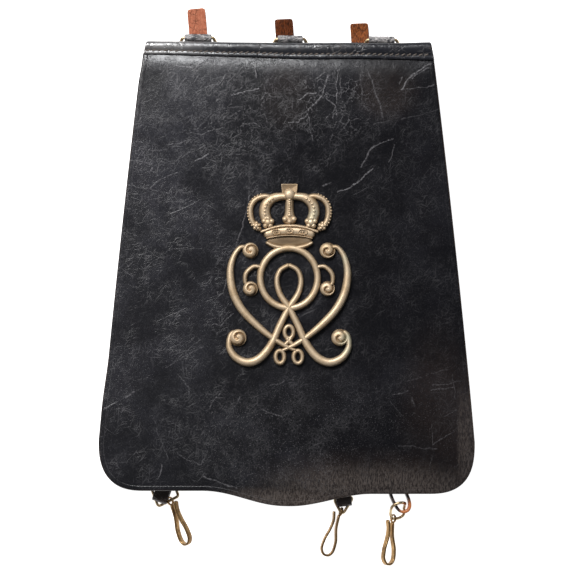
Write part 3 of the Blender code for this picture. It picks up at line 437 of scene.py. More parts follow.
# creases and scratches, in pixels of the photograph: half width in mm, brightness, and a run of points
MARKS = (
    (0.55, 1, (431.5, 63.3), (419, 70), (408.5, 78.5), (402.4, 89.4)),
    (0.4, 0.6, (430.3, 67.6), (416, 74), (412, 79)),
    (0.35, 0.5, (402.4, 89.4), (425.5, 88.2), (435, 83.3)),
    (0.35, 0.6, (398.8, 84.5), (402.4, 76)),
    (0.6, 0.55, (367.3, 70), (377, 97.9), (383, 117.3)),
    (0.35, 0.4, (361.2, 74.8), (361.8, 106)),
    (0.5, 0.9, (297.6, 102), (307.9, 93.6), (316.4, 93)),
    (0.5, 0.95, (307.9, 111), (316.4, 102.7), (323.6, 93), (328.5, 74.8)),
    (0.5, 0.8, (289, 123.3), (298, 122), (307.3, 113.6)),
    (0.35, 0.6, (307.9, 114.8), (309.7, 127), (313, 141)),
    (0.4, 0.7, (324.8, 95.5), (334.5, 105), (337, 114.8)),
    (0.4, 0.6, (334.5, 105), (332.7, 118.5)),
    (0.4, 0.8, (337, 70), (336.4, 102.7)),
    (0.35, 0.6, (340.6, 78), (341, 97)),
    (0.4, 0.7, (324.8, 72.4), (316.4, 78.5)),
    (0.35, 0.5, (352, 92), (346, 103)),
    (0.35, 0.35, (374.5, 124), (390, 121)),
    (0.3, 0.25, (401, 119.7), (421, 115), (440, 108.8)),
    (0.45, 0.7, (361.2, 167), (370.9, 148.8), (392.7, 137.9)),
    (0.4, 0.6, (389, 162), (394, 145)),
    (0.5, 1, (338, 192.4), (350.3, 187.6), (373.3, 168.8)),
    (0.6, 0.6, (322.4, 185.8), (331, 182.7)),
    (0.45, 0.8, (177.6, 66.4), (192, 67.8)),
    (0.4, 0.6, (192, 70), (206.7, 60.3)),
    (0.4, 0.55, (195.8, 93), (204.2, 87.6), (218.8, 84.5)),
    (0.5, 0.9, (218.8, 84.5), (224.8, 76)),
    (0.35, 0.4, (197, 129.4), (209, 114.8), (221.2, 108.2), (239.4, 107)),
    (0.4, 0.55, (169, 144), (178.8, 144), (190.9, 139.7)),
    (0.4, 0.55, (187.3, 133), (204.2, 133.6), (222.4, 127)),
    (0.35, 0.35, (144.8, 150), (167.9, 149.4)),
    (0.6, 0.8, (194.5, 161.5), (207.9, 154.2)),
    (0.35, 0.4, (221.2, 151.2), (237, 149.4)),
    (0.35, 0.4, (224.8, 154.2), (269.7, 154.8)),
    (0.45, 0.55, (148.5, 191), (160.6, 179), (177.6, 173)),
    (0.35, 0.55, (130.3, 160.9), (152, 164)),
    (0.35, 0.55, (127.9, 185.8), (146, 188.2), (158, 192)),
    (0.6, 0.6, (148.5, 172.4), (153.3, 168.8)),
    (0.9, 0.7, (216.5, 100.2), (219, 99)),
    (0.45, 0.8, (232, 96), (246.7, 91.2), (258.8, 88.2)),
    (0.5, 0.8, (255.2, 64), (256.4, 78.5)),
    (0.45, 0.7, (215, 65.2), (226, 65)),
    (0.4, 0.6, (243, 124.5), (254, 124), (261, 127)),
    (0.45, 0.6, (261, 100.3), (266, 93), (272, 96.7)),
    (0.8, 0.3, (250.3, 159.7), (249, 193.6)),
    (0.55, 0.6, (250, 195), (243, 225), (232, 258), (223, 293), (218, 297), (216.5, 292)),
    (0.45, 0.7, (215, 324), (220, 326), (227, 318), (233, 314)),
    (0.45, 0.85, (104.2, 410), (116.4, 401.8)),
    (0.6, 0.6, (126, 397), (134, 392)),
    (0.45, 0.55, (209, 407.9), (220, 392)),
    (0.4, 0.5, (231, 411.5), (240.6, 398)),
    (0.5, 0.75, (262.4, 409.7), (280.6, 416.4)),
    (0.5, 0.7, (158, 479.4), (161.8, 464.8)),
    (0.5, 0.8, (203, 477), (237, 487.9)),
    (0.4, 0.5, (177.6, 454.5), (193.3, 462.4), (200.6, 464.8), (207.9, 451.5)),
    (0.45, 0.5, (177.6, 374), (189.7, 387.3), (189, 395.8)),
    (0.4, 0.4, (152, 415), (167.9, 458.8)),
    (0.4, 0.45, (165.5, 367.3), (204, 346)),
    (0.4, 0.5, (270.9, 386), (285.5, 381.2)),
    (0.35, 0.5, (392.2, 394.8), (400, 393.6), (407.6, 391)),
    (0.35, 0.45, (431, 390.4), (444, 388.4), (453.5, 387.2)),
    (0.3, 0.25, (407.6, 381.5), (421, 377.8)),
    (0.3, 0.25, (432, 374), (448.4, 368.7)),
    (0.35, 0.35, (433, 385.6), (446, 383.6), (461, 380.6)),
    (0.3, 0.3, (452.5, 374), (453.5, 388), (455.4, 400)),
    (0.3, 0.25, (389.7, 401.2), (402.4, 416.5)),
    (0.7, 0.3, (411.4, 397.4), (414.6, 406.3)),
    (0.3, 0.3, (432.3, 424), (433.2, 445)),
    (0.35, 0.4, (434, 444.5), (443, 438), (454.7, 431.8)),
    (0.35, 0.35, (456, 410), (443, 416)),
    (0.35, 0.35, (398, 445.5), (418, 447.5), (436.9, 449)),
    (0.3, 0.25, (431, 455), (430, 468)),
)
# the height where the flap's shaders meet, and the soft rim that a mark has beyond its half width
SPLIT_Y, MARK_FRAY = 66, 0.3
# fine strokes: angle in degrees, length and width in mm, threshold, brightness
STROKES = (
    (14, 8, 0.8, 0.59, 0.5), (52, 7, 0.8, 0.59, 0.5), (88, 8, 0.9, 0.60, 0.45),
    (127, 7, 0.8, 0.60, 0.45), (163, 9, 0.8, 0.61, 0.45), (24, 30, 1.2, 0.68, 0.9),
    (78, 24, 1.1, 0.68, 0.75), (148, 32, 1.2, 0.69, 0.8), (2, 34, 1, 0.68, 0.65),
)


def flap_look(name, right, upper_half):
    """Blacked leather: fine strokes everywhere, wrinkles in its upper part, craquelure and specks low down, the
    marks, brown wear, a painted bluish-grey sheen on its left, a faded foot with an upright grain, and a tooled line
    inside the edge with a painted highlight along it. The strokes and the sheen are painted paler towards the left,
    where the light comes from. A shader holds only so many marks, so each quarter of the flap has its own, with
    those that reach it."""
    t = Tree(name)
    bent = t.warped(0.05, 2.6)
    shaken = t.warped(0.5, 0.22, 4, bent)
    clouds = t.noise(0.03, 4, 0.62, 7)
    patches = t.noise(0.055, 3, 0.6, 2)
    speckle = t.noise(0.8, 3, 0.7, 9)
    strokes = 0
    for number, (angle, long, wide, low, bright) in enumerate(STROKES):
        strokes = t.most(strokes, t.times(t.streaks(shaken, angle, long, wide, low, 2.3 * number), bright))
    # painted light: the strokes and the sheen are painted paler towards the left, and the strokes also towards the
    # top, where the light comes from
    painted_left_light = t.span(t.x, 70, -70, 0.38, 1)
    lower = t.span(t.y, -150, 40, 0.62, 1)
    strokes = t.times(strokes, t.span(patches, 0.4, 0.66, 0.15, 0.95), painted_left_light, lower)
    ridged = t.math("ABSOLUTE", t.math("SUBTRACT", t.noise(0.085, 3.5, 0.6, 12, bent), 0.5))
    upper = t.blobs((32, 138, 48, 52, 0.7), (-35, 122, 80, 62, 0.55))
    wrinkles = t.times(t.span(ridged, 0, 0.022, 1, 0), upper, t.span(speckle, 0.35, 0.6), 0.65)
    net = t.times(t.cracks(shaken, 3.2, 0.3, 63), t.blob(15, -118, 105, 55), 0.2)
    net = t.times(net, t.span(patches, 0.4, 0.65))
    place = t.vector("MULTIPLY", t.warped(0.5, 0.6, 8, t.warped(0.12, 2.2, 8)), (1, 1, 0))
    marks = 0
    for half_width, bright, *run in MARKS:
        run = [pixel(*p) for p in run]
        for a, b in zip(run, run[1:]):
            beside = max(a[0], b[0]) < -2 if right else min(a[0], b[0]) > 2
            beyond = max(a[1], b[1]) < SPLIT_Y - 2 if upper_half else min(a[1], b[1]) > SPLIT_Y + 2
            if not (beside or beyond):
                marks = t.most(marks, t.times(t.segment(place, a, b, half_width + MARK_FRAY), bright))
    marks = t.times(marks, t.span(speckle, 0.36, 0.62, 0.2, 0.95))
    grain = t.noise(1.3, 3, 0.6, 6)
    specks = t.add(0.18, t.blob(10, -118, 125, 66), 0.45)
    specks = t.times(t.span(grain, 0.57, 0.67), specks, t.span(clouds, 0.35, 0.6, 0.4, 1))
    lines = t.most(strokes, wrinkles, net, marks, specks)
    edge = t.node("Attribute", {}, attribute_name="edge").outputs["Fac"]
    brown = t.blobs(
        (73, 144, 30, 28, 0.5), (112, -100, 38, 90, 0.45), (70, -138, 110, 24, 0.6),
        (0, -158, 80, 14, 1), (0, 140, 26, 32, 0.4),
    )
    brown = t.times(brown, t.span(clouds, 0.3, 0.62, 0.4, 1), t.span(speckle, 0.3, 0.7, 0.45, 1))
    colour = t.mix(brown, BLACK, BROWN)
    # painted sheen: bluish-grey light painted on the flap's left, less towards the foot, for the light's reflection
    # in the polish
    painted_sheen = t.times(t.span(t.x, 10, -95), t.span(clouds, 0.38, 0.62, 0.3, 1))
    painted_sheen = t.times(painted_sheen, t.span(t.y, -150, 60, 0.45, 1), t.span(speckle, 0.35, 0.65, 0.45, 1))
    painted_sheen = t.most(painted_sheen, t.times(t.span(clouds, 0.45, 0.7), painted_left_light, 0.5))
    colour = t.mix(t.times(painted_sheen, 0.55), colour, SHEEN_GREY)
    faded = t.noise(1, 4, 0.65, 4, t.vector("MULTIPLY", bent, (1, 0.3, 1)))
    foot = t.blobs((-2, -163, 82, 20), (62, -152, 105, 27, 0.62))
    beside_pocket = t.times(t.blob(140, -116, 30, 58), t.span(t.x, 124.2, 126.4), 0.4)
    faded = t.times(t.most(foot, beside_pocket), t.span(faded, 0.38, 0.62, 0.1, 1))
    colour = t.mix(faded, colour, FADED)
    colour = t.mix(t.times(lines, t.span(speckle, 0.25, 0.7, 0.5, 1)), colour, WEAR_AND_HIGHLIGHT_GREY)
    worn_edge = t.times(t.span(edge, 0.3, 1.5, 1, 0), t.span(clouds, 0.35, 0.65, 0.15, 0.8))
    colour = t.mix(worn_edge, colour, EDGE_BROWN)
    groove = t.span(t.math("ABSOLUTE", t.math("SUBTRACT", edge, GROOVE_IN)), 0, GROOVE_HALF, 1, 0)
    # painted highlight: the tooled line is painted paler, most on the left, where its edge catches the light
    painted_groove_highlight = t.times(groove, t.span(t.x, 60, -60, 0.1, 1), t.span(clouds, 0.35, 0.65, 0.2, 1))
    colour = t.mix(t.times(painted_groove_highlight, t.span(speckle, 0.3, 0.7, 0.1, 0.5)), colour, WEAR_AND_HIGHLIGHT_GREY)
    height = t.add(t.times(clouds, 0.9), lines, 0.18)
    groove = t.times(groove, t.span(t.x, 70, -60, 0.3, 1))
    height = t.add(height, groove, -0.3)
    height = t.add(height, grain, 0.05)
    rough = t.add(t.span(patches, 0.3, 0.7, 0.29, 0.37), lines, 0.08)
    near_band = t.span(t.y, 155, 167)
    rough = t.add(rough, near_band, -0.12)
    shine = t.span(t.x, 80, -100, 0.14, 0.34)
    near_shine = t.math("SUBTRACT", t.span(t.x, 90, -30, 0.07, 0.28), shine)
    shine = t.add(shine, near_shine, near_band)
    return t.finish(colour, rough, height, 0.9, specular=shine)


plan = flap_grid(FLAP_ROWS, FLAP_COLUMNS, 0.5 * FLAP_THICK)
x, y = plan[..., 0], plan[..., 1]
z = flap_face(x, y) - 0.5 * FLAP_THICK
# slow waves in the leather, clear of the band
z = z + smooth((150 - y) / 30) * (0.16 * waves(x, y, 3, 9, 45, 120) - 0.1)
points, faces = leaf(np.dstack([plan, z]), FLAP_THICK)
flap = piece("flap_leather", [(points, faces)], flap_look("flap_lower_left", 0, 0), ["flap"])
for name, right, upper_half in (("lower_right", 1, 0), ("upper_left", 0, 1), ("upper_right", 1, 1)):
    flap.data.materials.append(flap_look("flap_" + name, right, upper_half))
middles = points[np.array(faces)].mean(axis=1)
quarter = (middles[:, 0] > 0) + 2 * (middles[:, 1] > SPLIT_Y)
flap.data.polygons.foreach_set("material_index", quarter.astype(np.int32))
# how far each point is from the outline, which the shader's edge and tooled line need
outline = flap_grid(FLAP_ROWS, FLAP_COLUMNS, 0)
rim = np.vstack([outline[::2, 0], outline[-1, ::2], outline[::2, -1]])
nearest = np.min([np.hypot(points[:, 0] - a, points[:, 1] - b) for a, b in rim], axis=0)
flap.data.attributes.new("edge", "FLOAT", "POINT").data.foreach_set("value", nearest.astype(np.float32))

# Back panel and pocket
# The back of the bag is a second, thinner piece of black leather. The pocket front is sewn on it with a flange, and
# stands up round three sides by a short gusset, open towards the top under the flap.
PANEL_INSET, PANEL_THICK, PANEL_TOP_Y, PANEL_LOW_Y, PANEL_CORNER = 8, 1.8, 172.8, -116, 34
PANEL_UNDER_Z, PANEL_CLIMB = 2.35, 7.3
POCKET_INSET, POCKET_MOUTH_Y, POCKET_LOW_Y, POCKET_CORNER, POCKET_WALL = 16, 128, -108, 30, 1.6
POCKET_CROWN_Z, POCKET_SPINE_Y = 16.6, -18
# distance in from the outline, height of the middle of the wall
POCKET_STEPS = (
    (0, 5.25), (6.4, 5.25), (7.4, 5.4), (8.3, 6.3), (10.9, 12.9), (11.8, 14.1), (13.4, 15), (18, 15.7),
)


def raised(flat, z):
    """Points of the plane at one height, or each at its own."""
    return np.column_stack([flat, np.broadcast_to(z, len(flat))])


def back_look():
    """Black leather with fine creases and a soft grain."""
    t = Tree("back_leather")
    lines = t.times(t.cracks(t.warped(0.2, 1.2), 6, 0.3), t.span(t.noise(0.1, 2, 0.5, 1), 0.45, 0.65))
    clouds = t.noise(0.12, 4, 0.6, 3)
    pale = (0.05, 0.045, 0.045, 1)
    colour = t.mix(t.span(clouds, 0.4, 0.75, 0, 0.35), (0.013, 0.013, 0.016, 1), pale)
    colour = t.mix(t.times(lines, 0.5), colour, pale)
    return t.finish(colour, t.span(clouds, 0.3, 0.7, 0.44, 0.58), t.add(t.times(clouds, 0.5), lines, -0.2), 0.8)


BACK_LEATHER = back_look()
# the back in plan: the flap's side moved in, and its lower corners turned on a quarter circle
half_thick = 0.5 * PANEL_THICK
y_row = np.concatenate([
    np.linspace(PANEL_TOP_Y - half_thick, PANEL_LOW_Y + PANEL_CORNER, 120),
    PANEL_LOW_Y + PANEL_CORNER - (PANEL_CORNER - half_thick) * np.sin(np.linspace(0, 0.5 * math.pi, 24)[1:]),
])
over = np.clip((PANEL_LOW_Y + PANEL_CORNER - y_row) / (PANEL_CORNER - half_thick), 0, 1)
half = side_half(y_row) - PANEL_INSET - half_thick - (PANEL_CORNER - half_thick) * (1 - np.sqrt(1 - over**2))
across = np.linspace(-1, 1, 60)
x = half[:, None] * across
y = np.repeat(y_row[:, None], len(across), axis=1)
z = PANEL_UNDER_Z + half_thick + PANEL_CLIMB * smooth((y - 135) / 30)
piece("back_leather", [leaf(np.dstack([x, y, z]), PANEL_THICK)], BACK_LEATHER, ["back_panel"])

# the pocket's outline, from the mouth on the right round to the mouth on the left
side_y = np.linspace(POCKET_MOUTH_Y, POCKET_LOW_Y + POCKET_CORNER, 60)
side = np.stack([side_half(side_y) - POCKET_INSET, side_y], axis=1)
turn = np.linspace(0, 0.5 * math.pi, 14)[1:]
arc_x = side[-1, 0] - POCKET_CORNER * (1 - np.cos(turn))
arc = np.stack([arc_x, POCKET_LOW_Y + POCKET_CORNER * (1 - np.sin(turn))], axis=1)
base = np.stack([np.linspace(arc_x[-1], 0, 26)[1:], np.full(25, POCKET_LOW_Y)], axis=1)
outline = np.vstack([side, arc, base])
outline = np.vstack([outline, (outline * [-1, 1])[::-1][1:]])
into = rightward(directions(outline))
into[[0, -1]] = [[-1, 0], [1, 0]]
rings = [raised(outline + into * inset, height) for inset, height in POCKET_STEPS]
# over the front: straight towards the spine in plan, and up to the crown by a parabola
last = rings[-1]
spine = np.column_stack([np.zeros(len(last)), np.clip(last[:, 1], POCKET_SPINE_Y, None)])
for t in np.linspace(0.85, 0, 7):
    height = POCKET_CROWN_Z - (POCKET_CROWN_Z - last[:, 2]) * t**2
    rings.append(raised(spine * (1 - t) + last[:, :2] * t, height))
rings = np.array(rings)
rings[:, [0, -1], 1] = POCKET_MOUTH_Y
# the two halves meet at the spine, where their points are joined before the wall gets its thickness
front = (rings.reshape(-1, 3), grid_faces(*rings.shape[:2]).tolist())
pocket = piece("pocket_leather", [front], BACK_LEATHER, ["pocket"])
shape = bmesh.new()
shape.from_mesh(pocket.data)
bmesh.ops.remove_doubles(shape, verts=shape.verts, dist=2e-6)
shape.to_mesh(pocket.data)
shape.free()
wall = pocket.modifiers.new("wall", "SOLIDIFY")
wall.thickness = POCKET_WALL * 0.001
wall.offset = 0
wall.use_even_offset = True

# Top band
# A strip of black leather folded over the joined top edges of flap and back and sewn through with waxed thread.
# Use has polished its rounded upper half, and the thread sits in a groove near its lower edge.
BAND_X, BAND_HALF, BAND_CORNER, BAND_END, BAND_FLARE, BAND_MID_Z = 1.5, 105, 2.2, 0.8, 0.018, 11.98
STITCH_PITCH, STITCH_HALF, STITCH_Z = 4.25, 1.6, 15.3


def skin(points, closed=False):
    """The shell over a run of closed sections, one to a row: quads round it, and a flat face at each open end."""
    rows, sides = points.shape[:2]
    faces = grid_faces(rows, sides, wrap_rows=closed, wrap_columns=True).tolist()
    if not closed:
        faces += [list(range(sides)), list(range((rows - 1) * sides, rows * sides))]
    return points.reshape(-1, 3), faces


def tube(path, wide, sections, closed=False):
    """A section carried along a path: its first column along wide, its second square to both."""
    along = directions(path, closed)
    wide = unit(wide - (wide * along).sum(axis=1, keepdims=True) * along)
    rise = np.cross(along, wide)
    return skin(path[:, None] + sections[..., :1] * wide[:, None] + sections[..., 1:] * rise[:, None], closed)


def full_turn(sides):
    """Angles once round a circle, one for each side."""
    return np.linspace(0, 2 * math.pi, sides + 1)[:-1]


def round_section(radius, sides, count):
    """The same circle for each point of a path."""
    turn = full_turn(sides)
    return np.repeat(radius * np.stack([np.cos(turn), np.sin(turn)], axis=1)[None], count, axis=0)


def quarter_round(share, least=0):
    """Height of a quarter circle above its foot: the root of 1 - (1 - share)^2, held above the root of the least."""
    return np.sqrt(np.clip(eased(share, 2), least, 1))


def ends_rounded(path, radius):
    """Share of full size along an open path whose ends close as a half circle of this radius."""
    run = run_of(path)
    return quarter_round(np.minimum(run, run[-1] - run) / radius).clip(0.12, 1)


def band_look():
    """Polished black leather with fine cracks, brown at its left end, and painted paler beside that end, where the
    light falls on it.
    """
    t = Tree("band_leather")
    bent = t.warped(0.15, 1.6)
    clouds = t.noise(0.09, 4, 0.65, 5)
    lines = t.times(t.cracks(bent, 5, 0.32), t.span(t.noise(0.06, 2, 0.5, 1), 0.45, 0.66))
    left_end = t.span(t.x, -106.5, -101, 1, 0)
    brown = t.most(t.times(left_end, 0.8), t.span(clouds, 0.58, 0.75, 0, 0.5))
    colour = t.mix(brown, (0.012, 0.0125, 0.016, 1), (0.085, 0.045, 0.025, 1))
    # painted light: the band's left part is painted paler grey, where the light falls on it
    pale = t.times(t.span(t.x, -40, -95), t.span(clouds, 0.3, 0.6, 0.6, 1), 0.75)
    colour = t.mix(pale, colour, (0.15, 0.145, 0.145, 1))
    colour = t.mix(t.times(lines, 0.55), colour, (0.11, 0.105, 0.105, 1))
    height = t.add(t.times(clouds, 0.8), lines, -0.25)
    shine = t.times(t.span(t.x, 100, -10, 0.14, 0.5), t.span(t.x, -20, -90, 1, 1.8))
    return t.finish(colour, t.span(clouds, 0.3, 0.7, 0.21, 0.4), height, 0.9, specular=shine)


# the front leg from its lower edge to the fold and round to the back: share of the depth, height
BAND_PROFILE = (
    (0, 9.35), (0.3, 9.3), (0.58, 9.3), (0.74, 9.75), (0.83, 10.9), (0.86, 11.98), (0.83, 13.05), (0.74, 14.2),
    (0.58, 14.65), (0.3, 14.65), (0.02, 14.66), (-0.03, 14.9), (-0.03, 15.5), (0.02, 15.98), (0.09, 16.12),
    (0.19, 15.78), (0.28, 15.38), (0.33, 15.62), (0.4, 16.1), (0.5, 16.25), (0.62, 16.15), (0.72, 15.95),
    (0.81, 15.62), (0.9, 15.2), (0.955, 14.5), (0.985, 13.4), (1, 11.98), (0.97, 10.6), (0.9, 9.4), (0.8, 8.5),
    (0.66, 8.05), (0.4, 8), (0.1, 8), (0.02, 8.15), (-0.01, 8.6), (0, 9),
)
share, height = np.array(BAND_PROFILE).T
stations = BAND_HALF * np.sin(np.linspace(-0.5 * math.pi, 0.5 * math.pi, 240))
# the fold as seen from above: a flat parabola with slow waves, its corners rounded
top = 179 - 0.0062 * stations + 0.000075 * stations**2 + 0.35 * waves(stations, 0 * stations, 11, 4, 60, 140)
beyond = np.clip(np.abs(stations) - (BAND_HALF - BAND_CORNER), 0, BAND_CORNER)
top = top - BAND_CORNER + np.sqrt(BAND_CORNER**2 - beyond**2)
low = band_low_edge(stations) + 0.3 * waves(stations, 0 * stations, 12, 4, 50, 120)
round_off = quarter_round((BAND_HALF - np.abs(stations)) / BAND_END, 0.2)
band_x = BAND_X + stations[:, None] * (1 + BAND_FLARE * (1 - share) * np.abs(stations[:, None]) / BAND_HALF)
band_y = low[:, None] + (top - low)[:, None] * share
band_z = BAND_MID_Z + (height - BAND_MID_Z) * round_off[:, None]
band_z = band_z + 0.1 * smooth((height - 14.7) / 0.6) * waves(band_x, band_y, 13, 6, 9, 40)
piece("band_leather", [skin(np.dstack([band_x, band_y, band_z]))], band_look(), ["top_band"])


def thread_look():
    """Dark waxed thread."""
    t = Tree("waxed_thread")
    colour = t.mix(t.noise(0.9), (0.02, 0.016, 0.014, 1), (0.15, 0.12, 0.10, 1))
    return t.finish(colour, 0.6, t.noise(3), 0.2)


stitches = []
run = np.linspace(-1, 1, 9)
for middle in np.arange(-101.5, 103, STITCH_PITCH):
    y_there = np.interp(middle, stations, low + (top - low) * 0.27)
    path = np.column_stack([middle + STITCH_HALF * run, y_there + 0.75 * run, STITCH_Z + 0.35 * (1 - run**2)])
    sections = round_section(0.55, 8, 9) * ends_rounded(path, 0.6)[:, None, None]
    stitches.append(tube(path, np.tile([0, 1, 0], (9, 1)), sections))
piece("band_stitches", stitches, thread_look())

# Rings and loops at the top edge
# Each sling hangs on a cast brass ring, a low trapezium of round wire. A short black leather loop holds the ring's
# upper bar; its tails are sewn between back and band, and its fold is cracked by the pull of the ring.
TOP_SETS = (("left", -65, 182.6, 10), ("middle", 2.7, 181.6, 9.2), ("right", 69.9, 181, 9.5))
BAR_Z, LOW_BAR_Z, LEAN_DROP, FLARE, WIRE = 7.9, 1.2, 13.6, 17, 1.2
SHOULDER_OUT, SHOULDER_DOWN, RING_CORNER = 2.6, 5.5, 1.6
LOOP_THICK, LOOP_BEND, TAIL_END = 1.15, 2.15, -18.9


def brass_look(name, bright, dull, rough, patch):
    """Tarnished brass: the bright metal with clouds of dull brown and dark pits."""
    t = Tree(name)
    clouds = t.noise(patch, 4, 0.65, 3)
    pits = t.noise(2.2, 3, 0.6, 8)
    colour = t.mix(t.span(clouds, 0.42, 0.68), bright, dull)
    colour = t.mix(t.span(pits, 0.62, 0.8, 0, 0.5), colour, (0.09, 0.055, 0.03, 1))
    height = t.add(t.times(clouds, 0.6), pits, 0.4)
    return t.finish(colour, t.span(clouds, 0.3, 0.7, rough, rough + 0.16), height, 0.12, metallic=1)


WIRE_BRASS = brass_look("wire_brass", (0.62, 0.47, 0.28, 1), (0.14, 0.09, 0.05, 1), 0.34, 0.3)


def rounded_loop(corners, radius, per_corner):
    """A closed polygon in the plane with each corner turned on an arc."""
    corners = np.asarray(corners, float)
    before = unit(np.roll(corners, 1, axis=0) - corners)
    after = unit(np.roll(corners, -1, axis=0) - corners)
    half = 0.5 * np.arccos(np.clip((before * after).sum(axis=1), -1, 1))[:, None]
    middle = corners + unit(before + after) * radius / np.sin(half)
    first = corners + before * radius / np.tan(half) - middle
    last = corners + after * radius / np.tan(half) - middle
    t = np.linspace(0, 1, per_corner)[None, :, None]
    turn = (math.pi - 2 * half)[:, None]
    arcs = (np.sin((1 - t) * turn) * first[:, None] + np.sin(t * turn) * last[:, None]) / np.sin(turn)
    return (middle[:, None] + arcs).reshape(-1, 2)


def dense(loop, spacing):
    """A closed loop of points with more of them, about this far apart."""
    closed = np.vstack([loop, loop[:1]])
    return along_run(closed, np.linspace(0, 1, int(run_of(closed)[-1] / spacing) + 1))[:-1]


def loop_look():
    """Black leather worn grey, with pale cracks across the fold."""
    t = Tree("loop_leather")
    bent = t.warped(0.4, 1)
    lines = t.most(t.cracks(bent, 3.2, 0.35), t.times(t.streaks(bent, 4, 12, 0.6, 0.56, 3), 0.9))
    lines = t.times(lines, t.span(t.noise(0.2, 2, 0.5, 1), 0.35, 0.6))
    worn = t.span(t.noise(0.55, 4, 0.65, 6, t.vector("MULTIPLY", bent, (0.5, 1.3, 1))), 0.44, 0.62)
    colour = t.mix(t.times(worn, 0.9), (0.04, 0.04, 0.045, 1), (0.33, 0.31, 0.31, 1))
    colour = t.mix(t.times(lines, 0.7), colour, (0.5, 0.48, 0.47, 1))
    return t.finish(colour, 0.5, t.add(t.times(t.noise(0.3), 0.8), lines, -0.5), 1)


LOOP_LEATHER = loop_look()
lean = math.hypot(LEAN_DROP, BAR_Z - LOW_BAR_Z)
for side_name, centre_x, bar_y, half in TOP_SETS:
    bar = half + WIRE
    right = [(bar, 0), (bar + SHOULDER_OUT, -SHOULDER_DOWN), (bar + FLARE, -lean)]
    corners = right + [(-x, y) for x, y in reversed(right)]
    flat = dense(rounded_loop(corners, RING_CORNER, 10), 0.8)
    share = -flat[:, 1] / lean
    path = np.column_stack([
        centre_x + flat[:, 0], bar_y - LEAN_DROP * share, BAR_Z + (LOW_BAR_Z - BAR_Z) * share,
    ])
    normal = unit(np.array([0, BAR_Z - LOW_BAR_Z, -LEAN_DROP]))
    ring = tube(path, np.tile(normal, (len(path), 1)), round_section(WIRE, 14, len(path)), closed=True)
    piece("brass_ring_" + side_name, [ring], WIRE_BRASS, ["top_ring_" + side_name])
    # the loop as a strip in section: down the back tail, round the bar and along the front tail
    turn = np.linspace(-0.5 * math.pi, math.pi, 26)
    round_part = LOOP_BEND * np.stack([np.cos(turn), np.sin(turn)], axis=1)
    tail = np.stack([np.linspace(TAIL_END, -0.4, 20), np.full(20, -LOOP_BEND)], axis=1)
    front = np.stack([np.linspace(-LOOP_BEND - 0.6, TAIL_END, 18), np.linspace(-0.55, -0.8, 18)], axis=1)
    line = np.vstack([tail, round_part, front])
    width = np.linspace(-half + 0.6, half - 0.6, 26)
    crinkle = 0.22 * waves(0.8 * np.arange(len(line))[:, None], width[None], 17, 6, 3, 9)
    fade = smooth((line[:, :1] + 8) / 5)
    moved = line[:, None] - rightward(directions(line))[:, None] * (0.5 * np.abs(crinkle) * fade)[..., None]
    grid = np.dstack([
        np.broadcast_to(centre_x + width, crinkle.shape), bar_y + moved[..., 0], BAR_Z + moved[..., 1],
    ])
    loop = leaf(grid, LOOP_THICK, 4)
    piece("loop_leather_" + side_name, [loop], LOOP_LEATHER, ["ring_loop_" + side_name])

# Slings
# Three straps of bridle leather, black on the grain side and brown on the flesh side. Each passes over its ring, and
# its rounded tip stands up past the top edge with the brown side showing. Their lower ends hold the hooks' rings.
STRAP_WIDE, STRAP_END, STRAP_THICK, LIE = 13.5, 11, 1.97, 1.02
# each run from its tongue down to the fold: x, y, height of the middle of the strap
LEFT_RUN = (
    (-66.5, 204.1, 4.9), (-66.3, 202, 4.8), (-65.6, 194, 4.2), (-65, 186.5, 3.78), (-64.7, 176, 3.78),
    (-64.6, 166.5, 3.74), (-64.9, 158, 2.4), (-65.6, 148, LIE), (-69.5, 95, LIE), (-74.6, 20, LIE),
    (-79.2, -55, LIE), (-82.6, -105, LIE), (-84, -124, LIE),
)
MIDDLE_RUN = (
    (-2.2, 196.5, 4.6), (-2.1, 194.5, 4.5), (-1.5, 186, 3.78), (-0.6, 175, 3.78), (0, 165.5, 3.74),
    (0.9, 157, 2.4), (2.1, 147, LIE), (9.5, 95, LIE), (20.5, 20, LIE), (31, -55, LIE),
    (37.4, -105, LIE), (39.6, -126, LIE),
)
RIGHT_RUN = (
    (53.2, 193.4, 2.6), (53.3, 191.4, 2.4), (53.8, 185.5, 1.25), (54.3, 179.5, 1.1), (56.2, 175.4, 1.1),
    (58.2, 171.8, 3.7), (60.2, 167.4, 3.8), (61.2, 163, 3.75), (61.9, 158, 2.6), (62.3, 152.5, 1.3),
    (62.7, 146, LIE), (64.6, 95, LIE), (68.2, 20, LIE), (72, -55, LIE), (74.4, -98, LIE),
    (76, -117, LIE),
)
# the folded end: along the strap's heading from its foot, and up from it
FOLD = (
    (-17, 0), (-9, 0), (-3.5, 0), (0, 0), (1.25, 0.35), (2.15, 1.3), (2.4, 2.4), (2.15, 3.5),
    (1.25, 4.45), (0, 4.8), (-4, 4.8), (-7.6, 4.7), (-10.6, 3.4), (-13, 2.36), (-16.5, 2.34),
)
EYE_Z = 8.05
# the right sling's end: x, y, height, and how far the strap is turned on its edge in degrees
RIGHT_EYE = (
    (76.6, -121.5, 2.25, 11), (77.2, -127.5, 3.9, 34), (77.5, -133, 5.8, 58), (77.2, -139, 7.4, 80),
    *((x, y, EYE_Z, 86) for x, y in (
        (76.2, -145), (75.9, -150.6), (77.3, -155.4), (79.4, -159.8), (81, -162.6), (83.2, -164.8), (86.2, -165.4),
        (88.9, -164.2), (90.2, -161.4), (89.9, -157.6), (88.3, -153), (85.2, -147.8), (81.6, -143.6),
    )),
    (79.6, -139.4, EYE_Z, 84), (79.7, -135.4, 7.9, 78),
)
LEFT_FOOT, LEFT_HEADING, LEFT_ROLL = (-90.2, -149.8), (-0.342, -0.940), math.radians(8)
MIDDLE_FOOT, MIDDLE_HEADING = (41.9, -155.2), (0.12, -0.993)
UP = np.array([0, 0, 1])


